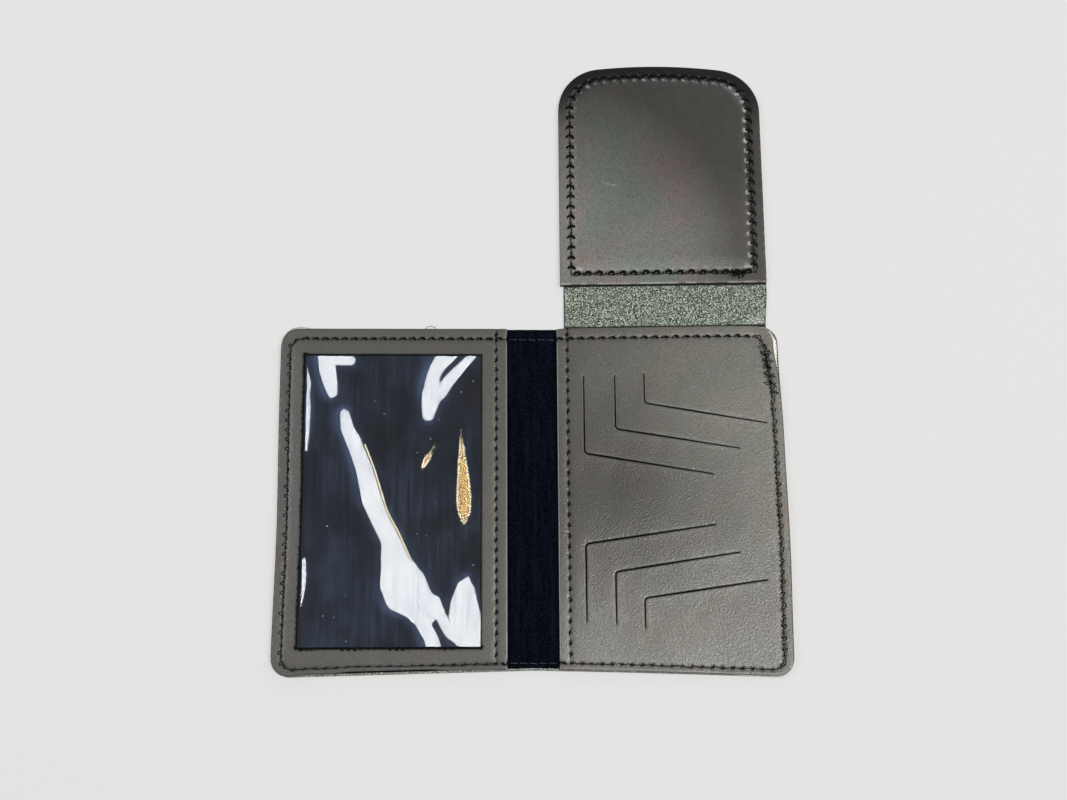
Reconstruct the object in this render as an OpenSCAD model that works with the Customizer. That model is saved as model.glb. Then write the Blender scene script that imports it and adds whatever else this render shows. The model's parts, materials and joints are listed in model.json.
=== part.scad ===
// Book-fold wallet for an identity card and a badge, lying open and face up.
// One half holds a clear window, the other six card slits, and a badge flap
// folds down over the card slits from the top edge of that half.
// X runs from the window half to the card half, Y runs up to the flap.

/* [Halves] */
// Height of both halves at the spine
panel_h = 122; // [105:1:150]
// How much lower the bottom edge lies at the outer corners
bottom_flare = 2; // [0:0.5:4]
// Width of the half with the clear window, from its fold line
window_side_w = 82.1; // [70:0.1:100]
// Width of the half with the card slits, from its fold line
card_side_w = 82.1; // [70:0.1:100]
// Width of the spine, from fold line to fold line
spine_w = 16.8; // [12:0.1:30]
// Bare lining between a fold line and the inner leather beside it
fold_room = 0.6; // [0.6:0.1:1.5]
// Corner radius of the cover
cover_corner_r = 6.5; // [4:0.5:9]
// Rim of the cover that shows past the inner leather
cover_rim = 0.8; // [0.2:0.1:1.5]
// Gap between pieces that turn about the same fold
fold_gap = 0.2; // [0.1:0.05:0.5]

/* [Leather, cloth and film] */
// Thickness of the cover leather
cover_t = 1.2; // [0.9:0.1:2]
// Thickness of the inner leather
panel_t = 1.1; // [0.8:0.1:2]
// Thickness of the lining cloth
lining_t = 0.3; // [0.2:0.05:0.6]
// Thickness of the clear film
film_t = 0.3; // [0.15:0.05:0.6]
// Thickness of the board inside the flap
board_t = 0.8; // [0.4:0.1:1.6]

/* [Window] */
// Leather left of the window, at the outer edge
window_outer_margin = 8.8; // [6.5:0.1:14]
// Leather right of the window, beside the spine
window_fold_margin = 9; // [6.5:0.1:14]
// Leather above the window
window_top_margin = 9.8; // [8.5:0.1:16]
// Leather below the window, at the spine
window_bottom_margin = 8; // [6.5:0.1:14]
// How far the film stays back from the edge of its frame
film_setback = 1; // [0.5:0.1:2]
// Width of the hidden slit where the identity card goes in
card_entry_w = 67; // [40:1:70]
// Opening of that slit
card_entry_gap = 1.2; // [0.6:0.1:1.6]

/* [Card slits] */
// Height of a card that stands upright in the slits
card_h = 85.6; // [70:0.1:90]
// Room above and below the card
card_room = 1.5; // [0.5:0.1:3]
// Number of cards, each held by an upper and a lower slit
cards = 3; // [1:1:3]
// Distance of the first slit from the panel's edge beside the spine
first_slit_x = 9.8; // [7:0.1:14]
// Step across from one slit to the next
slit_step_x = 10.5; // [6:0.5:12]
// Step up or down from one slit to the next
slit_step_y = 9; // [6:0.5:10.5]
// Leather between the first two slits at their corners
bridge_h = 32.4; // [24:0.1:36]
// Rise of the slanted part of each slit
slant_rise = 7.2; // [3:0.1:9]
// Gap from the longest reaching slit to the edge seam
slit_seam_gap = 1.9; // [1:0.1:6]
// Width of the cut
slit_w = 0.5; // [0.3:0.1:0.8]
// Radius of the bend in each slit
slit_bend_r = 1.2; // [0.6:0.1:2]
// How far the slits sit below the middle of the panel
slit_drop = 1.5; // [0:0.5:2]

/* [Flap] */
// Distance of the flap's leather face from the card half's fold line
flap_fold_inset = 2.1; // [0.5:0.1:5]
// Distance of the flap from the outer edge of the card half
flap_outer_inset = 4; // [1:0.1:8]
// How much the bare strip stays back from the side of the face
strip_inset = 1.3; // [0.1:0.1:3]
// Bare strip between the card half and the leather face of the flap
strip_h = 16; // [12:0.5:24]
// Height of the flap's leather face at its middle
flap_face_h = 88; // [60:1:100]
// Radius of the flap's two top corners
flap_corner_r = 17; // [12:0.5:24]
// Radius of the flap's arched top edge
flap_crown_r = 200; // [120:5:400]
// Distance of the fold line from the top edge of the card half
flap_fold_y = 2.5; // [1:0.1:4]
// Width of the slope where the leather rises over the board
pad_slope = 1.4; // [0.8:0.1:2]
// Play of the board in its pocket
board_play = 0.3; // [0.1:0.1:0.6]

/* [Stitching] */
// Distance of the seams from the outer and top edges and from the spine's leather edges
seam_inset = 3.8; // [3:0.1:4.5]
// Distance of the edge seam from the bottom edge
foot_seam_inset = 2.4; // [2:0.1:4.5]
// Distance of the flap's seam from the flap's edge
flap_seam_inset = 4.2; // [3:0.1:6]
// Corner radius of the edge seam
seam_corner_r = 4.5; // [3.5:0.1:6]
// Distance from hole to hole in the halves' seams
stitch_pitch = 3.6; // [3:0.1:5]
// Distance from hole to hole in the flap's seam
flap_stitch_pitch = 4.1; // [3:0.1:5]
// Length without thread on top at each hole
hole_gap = 1; // [0.8:0.1:1.3]
// Width of the thread
thread_w = 0.7; // [0.4:0.05:0.8]
// Thickness of the thread
thread_t = 0.4; // [0.25:0.05:0.5]
// Depth that the seams sink into the inner leather
seam_sink = 0.3; // [0.1:0.05:0.5]
// Room beside the thread in its groove
thread_room = 0.08; // [0.05:0.01:0.2]
// Depth left free below the thread on the outside
back_sink = 0.05; // [0.02:0.01:0.1]

/* [Hidden] */

$fn = 64;
// Overrun of every cut past the face that it leaves
cut = 1;
// Straight pieces in each quarter turn of a seam
turn_steps = 6;
// Facets of a circle inside a hull
hull_fn = 48;
// Thinnest slice that a hull starts from
slice = 0.01;

// Heights of the layers, from the table up
lining_z = cover_t;
inner_z = cover_t + lining_t;
frame_z = inner_z + film_t;
card_top = inner_z + panel_t;
frame_top = frame_z + panel_t;
board_z = cover_t;
rim_top = cover_t + panel_t;
pad_top = rim_top + board_t;

// Flap, in the plane of its own lower left corner
flap_w = card_side_w - flap_fold_inset - flap_outer_inset;
crown_centre = [flap_w / 2, flap_face_h - flap_crown_r];
corner_reach = flap_w / 2 - flap_corner_r;
corner_lift = sqrt(pow(flap_crown_r - flap_corner_r, 2) - pow(corner_reach, 2));
corner_y = crown_centre.y + corner_lift;
crown_angle = atan2(corner_lift, corner_reach);
flap_foot = flap_fold_y + fold_gap / 2 - strip_h;
pad_inset = flap_seam_inset + thread_w / 2 + hole_gap;

// Window
window_w = window_side_w - window_outer_margin - window_fold_margin - fold_room;
window_h = panel_h - window_top_margin - window_bottom_margin;

// Slits
slit_span = card_h + 2 * card_room;
slit_centre_y = panel_h / 2 - slit_drop;
slit_reach = card_side_w - seam_inset - slit_seam_gap - fold_room - first_slit_x;
slant_run = slit_reach - (cards - 1) * slit_step_x;
slant_angle = atan2(slant_rise, slant_run);

// Seams
seam_bow = max(bow(stitch_pitch, seam_corner_r), bow(flap_stitch_pitch, flap_corner_r - flap_seam_inset));
groove_w = thread_w + 2 * (seam_bow + thread_room);
groove_back = thread_t + back_sink;
fold_seam_x = fold_room + seam_inset;

// Middle of the whole outline, which becomes the origin
centre_x = (card_side_w - window_side_w) / 2;
centre_y = (panel_h + strip_h + flap_face_h - bottom_flare) / 2;

leather_colour = "#62615b";
suede_colour = "#7f8f80";
lining_colour = "#141a2c";
film_colour = [0.75, 0.8, 0.88, 0.4];
board_colour = "#8a7a5e";
thread_colour = "#1b1b1c";

// Points of an arc round c, with or without its two ends
function arc(c, r, from, to, ends = true) = [
    for (i = ends ? [0:turn_steps] : [1:turn_steps - 1])
        let (a = from + (to - from) * i / turn_steps)
        c + r * [cos(a), sin(a)]
];

// Height of a seam's arc over a straight stitch
function bow(pitch, r) = pow(pitch - hole_gap, 2) / (8 * r);

// Length of a path from its point i to its end
function run_of(path, i = 0) =
    i < len(path) - 1 ? norm(path[i + 1] - path[i]) + run_of(path, i + 1) : 0;

// Place and direction at the distance s along a path
function spot(path, s, i = 0) =
    let (step = path[i + 1] - path[i], l = norm(step))
    s <= l || i == len(path) - 2
        ? [path[i] + step * s / l, atan2(step.y, step.x)]
        : spot(path, s - l, i + 1);

// Left-hand normal of the leg that follows point i of a path
function normal(path, i) =
    let (leg = path[i + 1] - path[i])
    [-leg.y, leg.x] / norm(leg);

// Path shifted to its left by d, with mitred corners, closed where the path is
function beside(path, d) =
    let (last = len(path) - 1, closed = norm(path[last] - path[0]) < d * d)
    [
        for (i = [0:last])
            let (
                before = normal(path, i > 0 ? i - 1 : closed ? last - 1 : 0),
                after = normal(path, i < last ? i : closed ? 0 : last - 1)
            )
            path[i] + d * (before + after) / (1 + before * after)
    ];

// Height of the slanted edge seam at the distance x from the fold
function edge_seam_y(w, x) = foot_seam_inset - bottom_flare * x / (w - seam_inset - seam_corner_r);

// Edge seam of a half from its crossing with the fold seam to the top seam
function edge_seam(w) =
    let (x = w - seam_inset - seam_corner_r)
    concat(
        [[fold_seam_x, edge_seam_y(w, fold_seam_x)]],
        arc([x, foot_seam_inset + seam_corner_r - bottom_flare], seam_corner_r, -90, 0),
        arc([x, panel_h - seam_inset - seam_corner_r], seam_corner_r, 0, 90)
    );

// Seam round the flap's face: its straight foot, and the rest from corner to corner
function flap_foot_seam() = let (d = flap_seam_inset) [[d, d], [flap_w - d, d]];
function flap_round_seam() =
    let (d = flap_seam_inset, r = flap_corner_r - d)
    concat(
        [[flap_w - d, d]],
        arc([flap_w - flap_corner_r, corner_y], r, 0, crown_angle),
        arc(crown_centre, flap_crown_r - d, crown_angle, 180 - crown_angle, false),
        arc([flap_corner_r, corner_y], r, 180 - crown_angle, 180),
        [[d, d]]
    );
function flap_ring() = concat([flap_foot_seam()[0]], flap_round_seam());

// Moves the wallet's own corner, the foot of the spine, away from the origin
module placed() {
    translate([-centre_x, -centre_y, 0]) children();
}

// A half is drawn with its fold on the Y axis and its outer edge at +X
module card_side() {
    placed() translate([spine_w / 2, 0, 0]) children();
}

module window_side() {
    placed() translate([-spine_w / 2, 0, 0]) mirror([1, 0, 0]) children();
}

module flap_place() {
    placed() translate([spine_w / 2 + flap_fold_inset, panel_h + strip_h, 0]) children();
}

// Outline of a half, drawn in by d at its outer and bottom edges, from x = start
module half_outline(w, d = 0, start = fold_gap / 2) {
    r = cover_corner_r - d;
    x = w - cover_corner_r;
    low = cover_corner_r - bottom_flare;
    high = panel_h - r;
    polygon([
        [start, d - bottom_flare * start / x], [x, d - bottom_flare], [x + r, low],
        [x + r, high], [x, panel_h], [start, panel_h]
    ]);
    for (y = [low, high]) translate([x, y]) circle(r);
}

// Outline of the flap's face, drawn in by d, with its straight foot at y = d
module flap_outline(d = 0, fn = $fn) {
    r = flap_corner_r - d;
    spread = 2 * flap_corner_r * [cos(crown_angle), sin(crown_angle)];
    left = [flap_corner_r, corner_y];
    right = [flap_w - flap_corner_r, corner_y];
    translate([d, d]) square([flap_w - 2 * d, corner_y - d]);
    for (c = [left, right]) translate(c) circle(r, $fn = fn);
    intersection() {
        translate(crown_centre) circle(flap_crown_r - d, $fn = fn * flap_crown_r / flap_corner_r);
        polygon([left, right, right + spread, left + [-spread.x, spread.y]]);
    }
}

// Band of the width w along an open path, square at its ends
module band(path, w) {
    far = beside(path, -w / 2);
    polygon(concat(beside(path, w / 2), [for (i = [len(far) - 1:-1:0]) far[i]]));
}

// Groove along an open path
module groove(path, depth) {
    linear_extrude(depth) band(path, groove_w);
}

// Groove along a closed path that runs anticlockwise
module ring_groove(path, depth) {
    linear_extrude(depth) difference() {
        polygon(beside(path, -groove_w / 2));
        polygon(beside(path, groove_w / 2));
    }
}

// Thread that shows between two holes, along X
module stitch(l) {
    tip = thread_w / 2;
    linear_extrude(thread_t)
        polygon([
            [-l / 2, 0], [tip - l / 2, -tip], [l / 2 - tip, -tip],
            [l / 2, 0], [l / 2 - tip, tip], [tip - l / 2, tip]
        ]);
}

// Even stitches along a path that starts and ends in a hole
module seam(path, pitch = stitch_pitch) {
    run = run_of(path);
    count = max(1, round(run / pitch));
    for (k = [0:count - 1]) {
        at = spot(path, (k + 0.5) * run / count);
        translate(at[0]) rotate(at[1]) stitch(run / count - hole_gap);
    }
}

// Where the seam beside the spine crosses the edge seam and the top seam
function low_crossing(w) = [fold_seam_x, edge_seam_y(w, fold_seam_x)];
function high_crossing() = [fold_seam_x, panel_h - seam_inset];

// Short legs of the seams from a crossing to the edge of the leather
function edge_tail(w) = [[fold_room, edge_seam_y(w, fold_room)], low_crossing(w)];
function top_tail() = [[fold_room, panel_h - seam_inset], high_crossing()];
function fold_head() = [high_crossing(), [fold_seam_x, panel_h]];

// Long runs of the seams from crossing to crossing
function top_run(w) = [high_crossing(), [w - seam_inset - seam_corner_r, panel_h - seam_inset]];
function fold_run(w) = [low_crossing(w), high_crossing()];
function spine_run(y) = [[fold_gap - spine_w, 2 * y] / 2, [spine_w - fold_gap, 2 * y] / 2];

module edge_seams(w) {
    seam(edge_seam(w));
    seam(edge_tail(w));
}

module top_seams(w) {
    seam(top_run(w));
    seam(top_tail());
}

module fold_seams(w) {
    seam(fold_run(w));
    seam(fold_head());
}

// Both runs of the flap's seam, which meet in a hole at each corner of its foot
module flap_seams() {
    seam(flap_foot_seam(), flap_stitch_pitch);
    seam(flap_round_seam(), flap_stitch_pitch);
}

// Grooves of the three seams that show on the inner leather of a half
module inner_grooves(w, top) {
    translate([0, 0, top - seam_sink]) {
        groove(concat([[-cut, edge_seam_y(w, -cut)]], edge_seam(w)), seam_sink + cut);
        groove([[-cut, panel_h - seam_inset], top_run(w)[1]], seam_sink + cut);
        groove([low_crossing(w), [fold_seam_x, panel_h + cut]], seam_sink + cut);
    }
}

// Groove of the edge seam in the outside of the cover
module back_groove(w) {
    translate([0, 0, -cut])
        groove(concat([[-cut, edge_seam_y(w, -cut)]], edge_seam(w)), groove_back + cut);
}

module half_cover(w) {
    difference() {
        linear_extrude(cover_t) half_outline(w);
        back_groove(w);
    }
}

// The cover's tab runs on from the card half up to the fold line
module cover_card_side() {
    color(leather_colour) card_side() {
        difference() {
            linear_extrude(cover_t) {
                half_outline(card_side_w);
                translate([flap_fold_inset + strip_inset, panel_h - cover_corner_r])
                    square([flap_w - strip_inset, cover_corner_r + flap_fold_y - fold_gap / 2]);
            }
            back_groove(card_side_w);
        }
    }
}

module cover_window_side() {
    color(leather_colour) window_side() half_cover(window_side_w);
}

module spine_strip(t) {
    translate([-spine_w / 2 + fold_gap / 2, 0, 0]) cube([spine_w - fold_gap, panel_h, t]);
}

module cover_spine() {
    color(leather_colour) placed() difference() {
        spine_strip(cover_t);
        translate([-spine_w / 2 - cut, foot_seam_inset - groove_w / 2, -cut])
            cube([spine_w + 2 * cut, groove_w, groove_back + cut]);
    }
}

module cover_flap() {
    color(suede_colour) flap_place() difference() {
        linear_extrude(cover_t) {
            flap_outline();
            translate([strip_inset, flap_foot])
                square([flap_w - strip_inset, flap_corner_r - flap_foot]);
        }
        translate([0, 0, -cut]) ring_groove(flap_ring(), groove_back + cut);
    }
}

module lining_card_side() {
    color(lining_colour) card_side() translate([0, 0, lining_z])
        linear_extrude(lining_t) half_outline(card_side_w, cover_rim);
}

module lining_spine() {
    color(lining_colour) placed() translate([0, 0, lining_z]) spine_strip(lining_t);
}

// The identity card goes in behind the film through a slit above the window
module lining_window_side() {
    entry_y = panel_h - (seam_inset + window_top_margin) / 2;
    entry_x = fold_room + window_fold_margin + (window_w - card_entry_w) / 2;
    color(lining_colour) window_side() translate([0, 0, lining_z]) difference() {
        linear_extrude(lining_t) half_outline(window_side_w, cover_rim);
        translate([entry_x, entry_y - card_entry_gap / 2, -cut])
            cube([card_entry_w, card_entry_gap, lining_t + 2 * cut]);
    }
}

module window_film() {
    outline_inset = cover_rim + film_setback;
    color(film_colour) window_side() translate([0, 0, inner_z])
        linear_extrude(film_t) difference() {
            half_outline(window_side_w, outline_inset, fold_room + film_setback);
            translate([0, panel_h - film_setback]) square([window_side_w, film_setback + cut]);
        }
}

module window_frame() {
    color(leather_colour) window_side() difference() {
        translate([0, 0, frame_z]) linear_extrude(panel_t) difference() {
            half_outline(window_side_w, cover_rim, fold_room);
            translate([fold_room + window_fold_margin, window_bottom_margin])
                square([window_w, window_h]);
        }
        inner_grooves(window_side_w, frame_top);
    }
}

// Cut that comes down from the point head, bends at the height y and slants down to its end
module slit(head, y) {
    r = slit_bend_r;
    setback = r * (1 - sin(slant_angle)) / cos(slant_angle);
    path = concat(
        [head],
        arc([head.x + r, y + setback], r, 180, 270 - slant_angle),
        [[head.x + slant_run, y - slant_rise]]
    );
    band(path, slit_w);
    for (p = [head, path[len(path) - 1]]) translate(p) circle(d = slit_w);
}

// The upper slits; the lower ones are their mirror image
module slit_group() {
    for (i = [0:cards - 1]) {
        x = fold_room + first_slit_x + i * slit_step_x;
        y = bridge_h / 2 + i * slit_step_y;
        slit([x, slit_span / 2], y);
    }
}

module card_panel() {
    color(leather_colour) card_side() difference() {
        translate([0, 0, inner_z]) linear_extrude(panel_t) difference() {
            half_outline(card_side_w, cover_rim, fold_room);
            translate([0, slit_centre_y]) {
                slit_group();
                mirror([0, 1]) slit_group();
            }
        }
        inner_grooves(card_side_w, card_top);
    }
}

// Leather face of the flap: a flat rim, and a pad that rises over the board
module flap_face() {
    color(leather_colour) flap_place() difference() {
        union() {
            translate([0, 0, cover_t]) linear_extrude(panel_t) flap_outline();
            hull() {
                translate([0, 0, cover_t])
                    linear_extrude(panel_t) flap_outline(pad_inset, hull_fn);
                translate([0, 0, pad_top - slice])
                    linear_extrude(slice) flap_outline(pad_inset + pad_slope, hull_fn);
            }
        }
        translate([0, 0, cover_t - cut]) linear_extrude(board_t + cut) board_outline(0);
        translate([0, 0, rim_top - seam_sink]) ring_groove(flap_ring(), seam_sink + cut);
    }
}

module board_outline(play) {
    flap_outline(pad_inset + pad_slope + play);
}

module flap_board() {
    color(board_colour) flap_place() translate([0, 0, board_z])
        linear_extrude(board_t) board_outline(board_play);
}

// Threads of each seam, on the inner leather, on the lining or on the outside
module edge_thread_card_side() {
    color(thread_colour) card_side()
        translate([0, 0, card_top - seam_sink]) edge_seams(card_side_w);
}

module top_thread_card_side() {
    color(thread_colour) card_side()
        translate([0, 0, card_top - seam_sink]) top_seams(card_side_w);
}

module fold_thread_card_side() {
    color(thread_colour) card_side()
        translate([0, 0, card_top - seam_sink]) fold_seams(card_side_w);
}

module edge_thread_window_side() {
    color(thread_colour) window_side()
        translate([0, 0, frame_top - seam_sink]) edge_seams(window_side_w);
}

module top_thread_window_side() {
    color(thread_colour) window_side()
        translate([0, 0, frame_top - seam_sink]) top_seams(window_side_w);
}

module fold_thread_window_side() {
    color(thread_colour) window_side()
        translate([0, 0, frame_top - seam_sink]) fold_seams(window_side_w);
}

module edge_thread_spine() {
    color(thread_colour) placed() translate([0, 0, inner_z]) seam(spine_run(foot_seam_inset));
}

module top_thread_spine() {
    color(thread_colour) placed() translate([0, 0, inner_z]) seam(spine_run(panel_h - seam_inset));
}

module flap_thread_face() {
    color(thread_colour) flap_place()
        translate([0, 0, rim_top - seam_sink]) flap_seams();
}

module edge_thread_card_side_back() {
    color(thread_colour) card_side() translate([0, 0, back_sink]) edge_seams(card_side_w);
}

module edge_thread_window_side_back() {
    color(thread_colour) window_side() translate([0, 0, back_sink]) edge_seams(window_side_w);
}

module edge_thread_spine_back() {
    color(thread_colour) placed() translate([0, 0, back_sink]) seam(spine_run(foot_seam_inset));
}

module flap_thread_back() {
    color(thread_colour) flap_place() translate([0, 0, back_sink]) flap_seams();
}

cover_card_side();
cover_spine();
cover_window_side();
cover_flap();
lining_card_side();
lining_spine();
lining_window_side();
card_panel();
window_frame();
window_film();
flap_face();
flap_board();
edge_thread_card_side();
top_thread_card_side();
fold_thread_card_side();
edge_thread_window_side();
top_thread_window_side();
fold_thread_window_side();
edge_thread_spine();
top_thread_spine();
flap_thread_face();
edge_thread_card_side_back();
edge_thread_window_side_back();
edge_thread_spine_back();
flap_thread_back();
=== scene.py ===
"""Looks of a leather wallet for an identity card and a badge, lying open and face up.

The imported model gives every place. Leather, lining and film are sheets cut from the same outlines as the
model's, with their edges, seam grooves, slits and folds in the mesh. Lengths below are millimetres in the
frame of the model: X runs from the window half to the card half, Y up to the flap, Z up from the table.
"""
import json
import math
import random

import bpy
import numpy as np
from mathutils import Matrix, Vector
from mathutils.geometry import delaunay_2d_cdt


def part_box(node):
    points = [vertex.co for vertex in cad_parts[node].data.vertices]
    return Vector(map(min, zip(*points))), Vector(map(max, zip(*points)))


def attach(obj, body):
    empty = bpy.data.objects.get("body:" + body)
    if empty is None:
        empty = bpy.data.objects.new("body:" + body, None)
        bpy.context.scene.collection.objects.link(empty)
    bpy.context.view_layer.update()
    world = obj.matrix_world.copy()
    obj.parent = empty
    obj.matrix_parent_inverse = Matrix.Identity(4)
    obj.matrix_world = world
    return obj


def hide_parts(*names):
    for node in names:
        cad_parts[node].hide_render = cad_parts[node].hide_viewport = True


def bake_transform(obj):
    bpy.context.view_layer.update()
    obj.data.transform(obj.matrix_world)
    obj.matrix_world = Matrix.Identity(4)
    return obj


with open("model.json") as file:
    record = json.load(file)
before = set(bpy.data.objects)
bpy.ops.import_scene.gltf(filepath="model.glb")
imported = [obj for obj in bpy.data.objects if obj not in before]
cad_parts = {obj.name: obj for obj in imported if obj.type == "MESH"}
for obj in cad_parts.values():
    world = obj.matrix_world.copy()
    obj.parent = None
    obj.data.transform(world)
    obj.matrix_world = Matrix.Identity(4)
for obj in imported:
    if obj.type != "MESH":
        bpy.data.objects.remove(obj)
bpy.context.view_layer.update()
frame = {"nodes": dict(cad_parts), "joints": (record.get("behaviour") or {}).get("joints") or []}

MM = 0.001


def box_mm(node):
    """Lowest and highest corner of a node of the frame, in millimetres."""
    low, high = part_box(node)
    return low / MM, high / MM


JOINTS = {joint["name"]: Vector(joint["pos_m"]) / MM for joint in frame["joints"]}
COVER_LOW, COVER_HIGH = box_mm("cover_window_side")
SPINE_LOW = box_mm("cover_spine")[0]
LINING_LOW, LINING_HIGH = box_mm("lining_card_side")
PANEL_LOW, PANEL_HIGH = box_mm("card_panel")
FRAME_LOW, FRAME_HIGH = box_mm("window_frame")
FILM_LOW, FILM_HIGH = box_mm("window_film")
FLAP_LOW, FLAP_HIGH = box_mm("flap_face")

# Halves, whose foot slants down outwards. RIM is what the inner leather leaves bare of the cover
OUTER_X = -COVER_LOW.x
TOP_Y = COVER_HIGH.y
FOOT_Y = SPINE_LOW.y
CORNER_FOOT_Y = COVER_LOW.y
CORNER_R = 6.5
CORNER_X = OUTER_X - CORNER_R
INNER_X = PANEL_LOW.x
FOLD_X = JOINTS["spine_fold"].x
RIM = 0.35
LINING_RIM = OUTER_X - LINING_HIGH.x
PANEL_T = PANEL_HIGH.z - PANEL_LOW.z
FILM_T = 0.2
# What the sheets leave free below them, so that no two faces lie in one plane
CLEARANCE = 0.02
FRAME_CLEARANCE = 0.08

# Window in its frame, and how far painted shade reaches in from its left, top, right and bottom edge
WINDOW_LEFT, WINDOW_RIGHT = -81.3, -18.2
WINDOW_LOW, WINDOW_TOP = -103.9, 0.1
WINDOW_HOLE = [
    (WINDOW_LEFT, WINDOW_LOW), (WINDOW_LEFT, WINDOW_TOP),
    (WINDOW_RIGHT, WINDOW_TOP), (WINDOW_RIGHT, WINDOW_LOW),
]
SHADE_REACHES = (0.7, 0.2, 0.15, 0.9)

# Flap: the foot of its face, the radii of its corners and of its top edge, the left edge of the bare strip,
# the height of its rim, and where the tab's piece of the cover joins the card half's
FLAP_FOOT_Y = FLAP_LOW.y + 0.6
FLAP_CORNER_R = 17.0
CROWN_R = 200.0
STRIP_LEFT = FLAP_LOW.x + 1.3
RIM_TOP = FLAP_LOW.z + PANEL_T
SPLIT_Y = TOP_Y - 2.0

# Seams: how far inside the edges they run, and the lengths of their stitches
SEAM_INSET = 3.8
BOTTOM_SEAM_INSET = 2.4
SEAM_CORNER_R = 4.5
FLAP_SEAM_INSET = 4.2
PITCHES = {
    "left": {"top": 3.4, "fold": 3.6, "outer": 3.43, "bottom": 3.59},
    "right": {"top": 3.8, "fold": 3.7, "outer": 3.9, "bottom": 3.48},
    "flap": {"flap_left": 4.0, "flap_right": 4.13, "flap_foot": 4.26, "flap_top": 3.78},
}
PITCH = 3.6

# Places of the viewer and of the two lights that the film's folds throw back, in metres
VIEWER = (-0.01475, -0.14316, 0.52597)
WINDOW_LIGHT = (-0.80, 0.16, 0.95)
WARM_LAMP = (0.40, 0.17, 1.10)

# Meshes: finest step between points, how many times wider they lie away from detail, how far detail
# reaches, the radius to which a cut edge is worn, and the rows of points that follow it
STEP = 0.62
COARSE = 3
DETAIL_BAND = 2.2
EDGE_R = 0.3
EDGE_ROWS = (0.05, 0.14, 0.3)
# Triangles below this area are dropped, the lower edge is worn by this share of what the upper one is, and
# faces that meet at more than this angle are drawn with a sharp edge
SLIVER = 1e-7
UNDER_WORN = 0.6
SHARP_ANGLE = math.radians(48)

# How far the leather was cut or sewn out of true: the step of the card half's top edge beside the spine and
# its climb outwards, the drop of its foot, how far its top corner leans in and its side swells, the swell of
# the window half's side, and how far the inner leather is drawn back at the top corner and along the foot
TOP_STEP, TOP_CLIMB = 0.3, 1.3
FOOT_DROP = 0.7
CORNER_LEAN = 0.9
CARD_SWELL, WINDOW_SWELL = 0.5, 0.6
CORNER_PULL_X, CORNER_PULL_Y = 1.5, 0.5
FOOT_PULL, FOOT_PULL_MORE = 0.35, 0.55
# Heights between which the climb, the drop and the lean set in, and between which they end
CLIMB_START, CLIMB_END = (-30, 9), (30, 90)
DROP_END = (-112, -80)
LEAN_START, LEAN_END = (-30, 2), (10, 24)


# Outlines

def arc(x, y, r, start, end, legs=8):
    """Points of an arc from the angle start to the angle end, in degrees."""
    angles = [math.radians(start + (end - start) * i / legs) for i in range(legs + 1)]
    return [(x + r * math.cos(a), y + r * math.sin(a)) for a in angles]


def mirrored(loop):
    """The same outline on the other side of the spine, still anticlockwise."""
    return [(-x, y) for x, y in reversed(loop)]


def half_outline(inset, inner):
    """Anticlockwise outline of the card half from x = inner, drawn in at its outer and bottom edges."""
    r = CORNER_R - inset
    foot = FOOT_Y + inset + (CORNER_FOOT_Y - FOOT_Y) * inner / CORNER_X
    return [
        (inner, foot),
        *arc(CORNER_X, CORNER_FOOT_Y + CORNER_R, r, -90, 0),
        *arc(CORNER_X, TOP_Y - r, r, 0, 90),
        (inner, TOP_Y),
    ]


def flap_outline(inset=0.0):
    """The flap's outline from its lower right corner round to its lower left one."""
    left, right = FLAP_LOW.x + FLAP_CORNER_R, FLAP_HIGH.x - FLAP_CORNER_R
    middle, crown_y = (left + right) / 2, FLAP_HIGH.y - CROWN_R
    lift = math.sqrt((CROWN_R - FLAP_CORNER_R) ** 2 - (right - middle) ** 2)
    lean = math.degrees(math.atan2(lift, right - middle))
    r = FLAP_CORNER_R - inset
    return [
        (FLAP_HIGH.x - inset, FLAP_FOOT_Y + inset),
        *arc(right, crown_y + lift, r, 0, lean, 12),
        *arc(middle, crown_y, CROWN_R - inset, lean, 180 - lean, 12)[1:-1],
        *arc(left, crown_y + lift, r, 180 - lean, 180, 12),
        (FLAP_LOW.x + inset, FLAP_FOOT_Y + inset),
    ]


def ramp(value, start, end):
    """Smooth step from 0 at start to 1 at end."""
    t = np.clip((value - start) / (end - start), 0, 1)
    return t * t * (3 - 2 * t)


def fading(distance, reach):
    """Share that falls away from 1 with the distance, to about a third at the reach."""
    return np.exp(-distance / reach)


def hump(distance, reach):
    """Share that falls away from 1 on both sides of nil, to about a third at the reach."""
    return np.exp(-(distance / reach) ** 2)


def spot(points, centre, spread):
    """Share that falls away from 1 all round a centre. The spread is the square of its reach."""
    x, y = points[:, 0] - centre[0], points[:, 1] - centre[1]
    return np.exp(-(x ** 2 + y ** 2) / spread)


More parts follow.
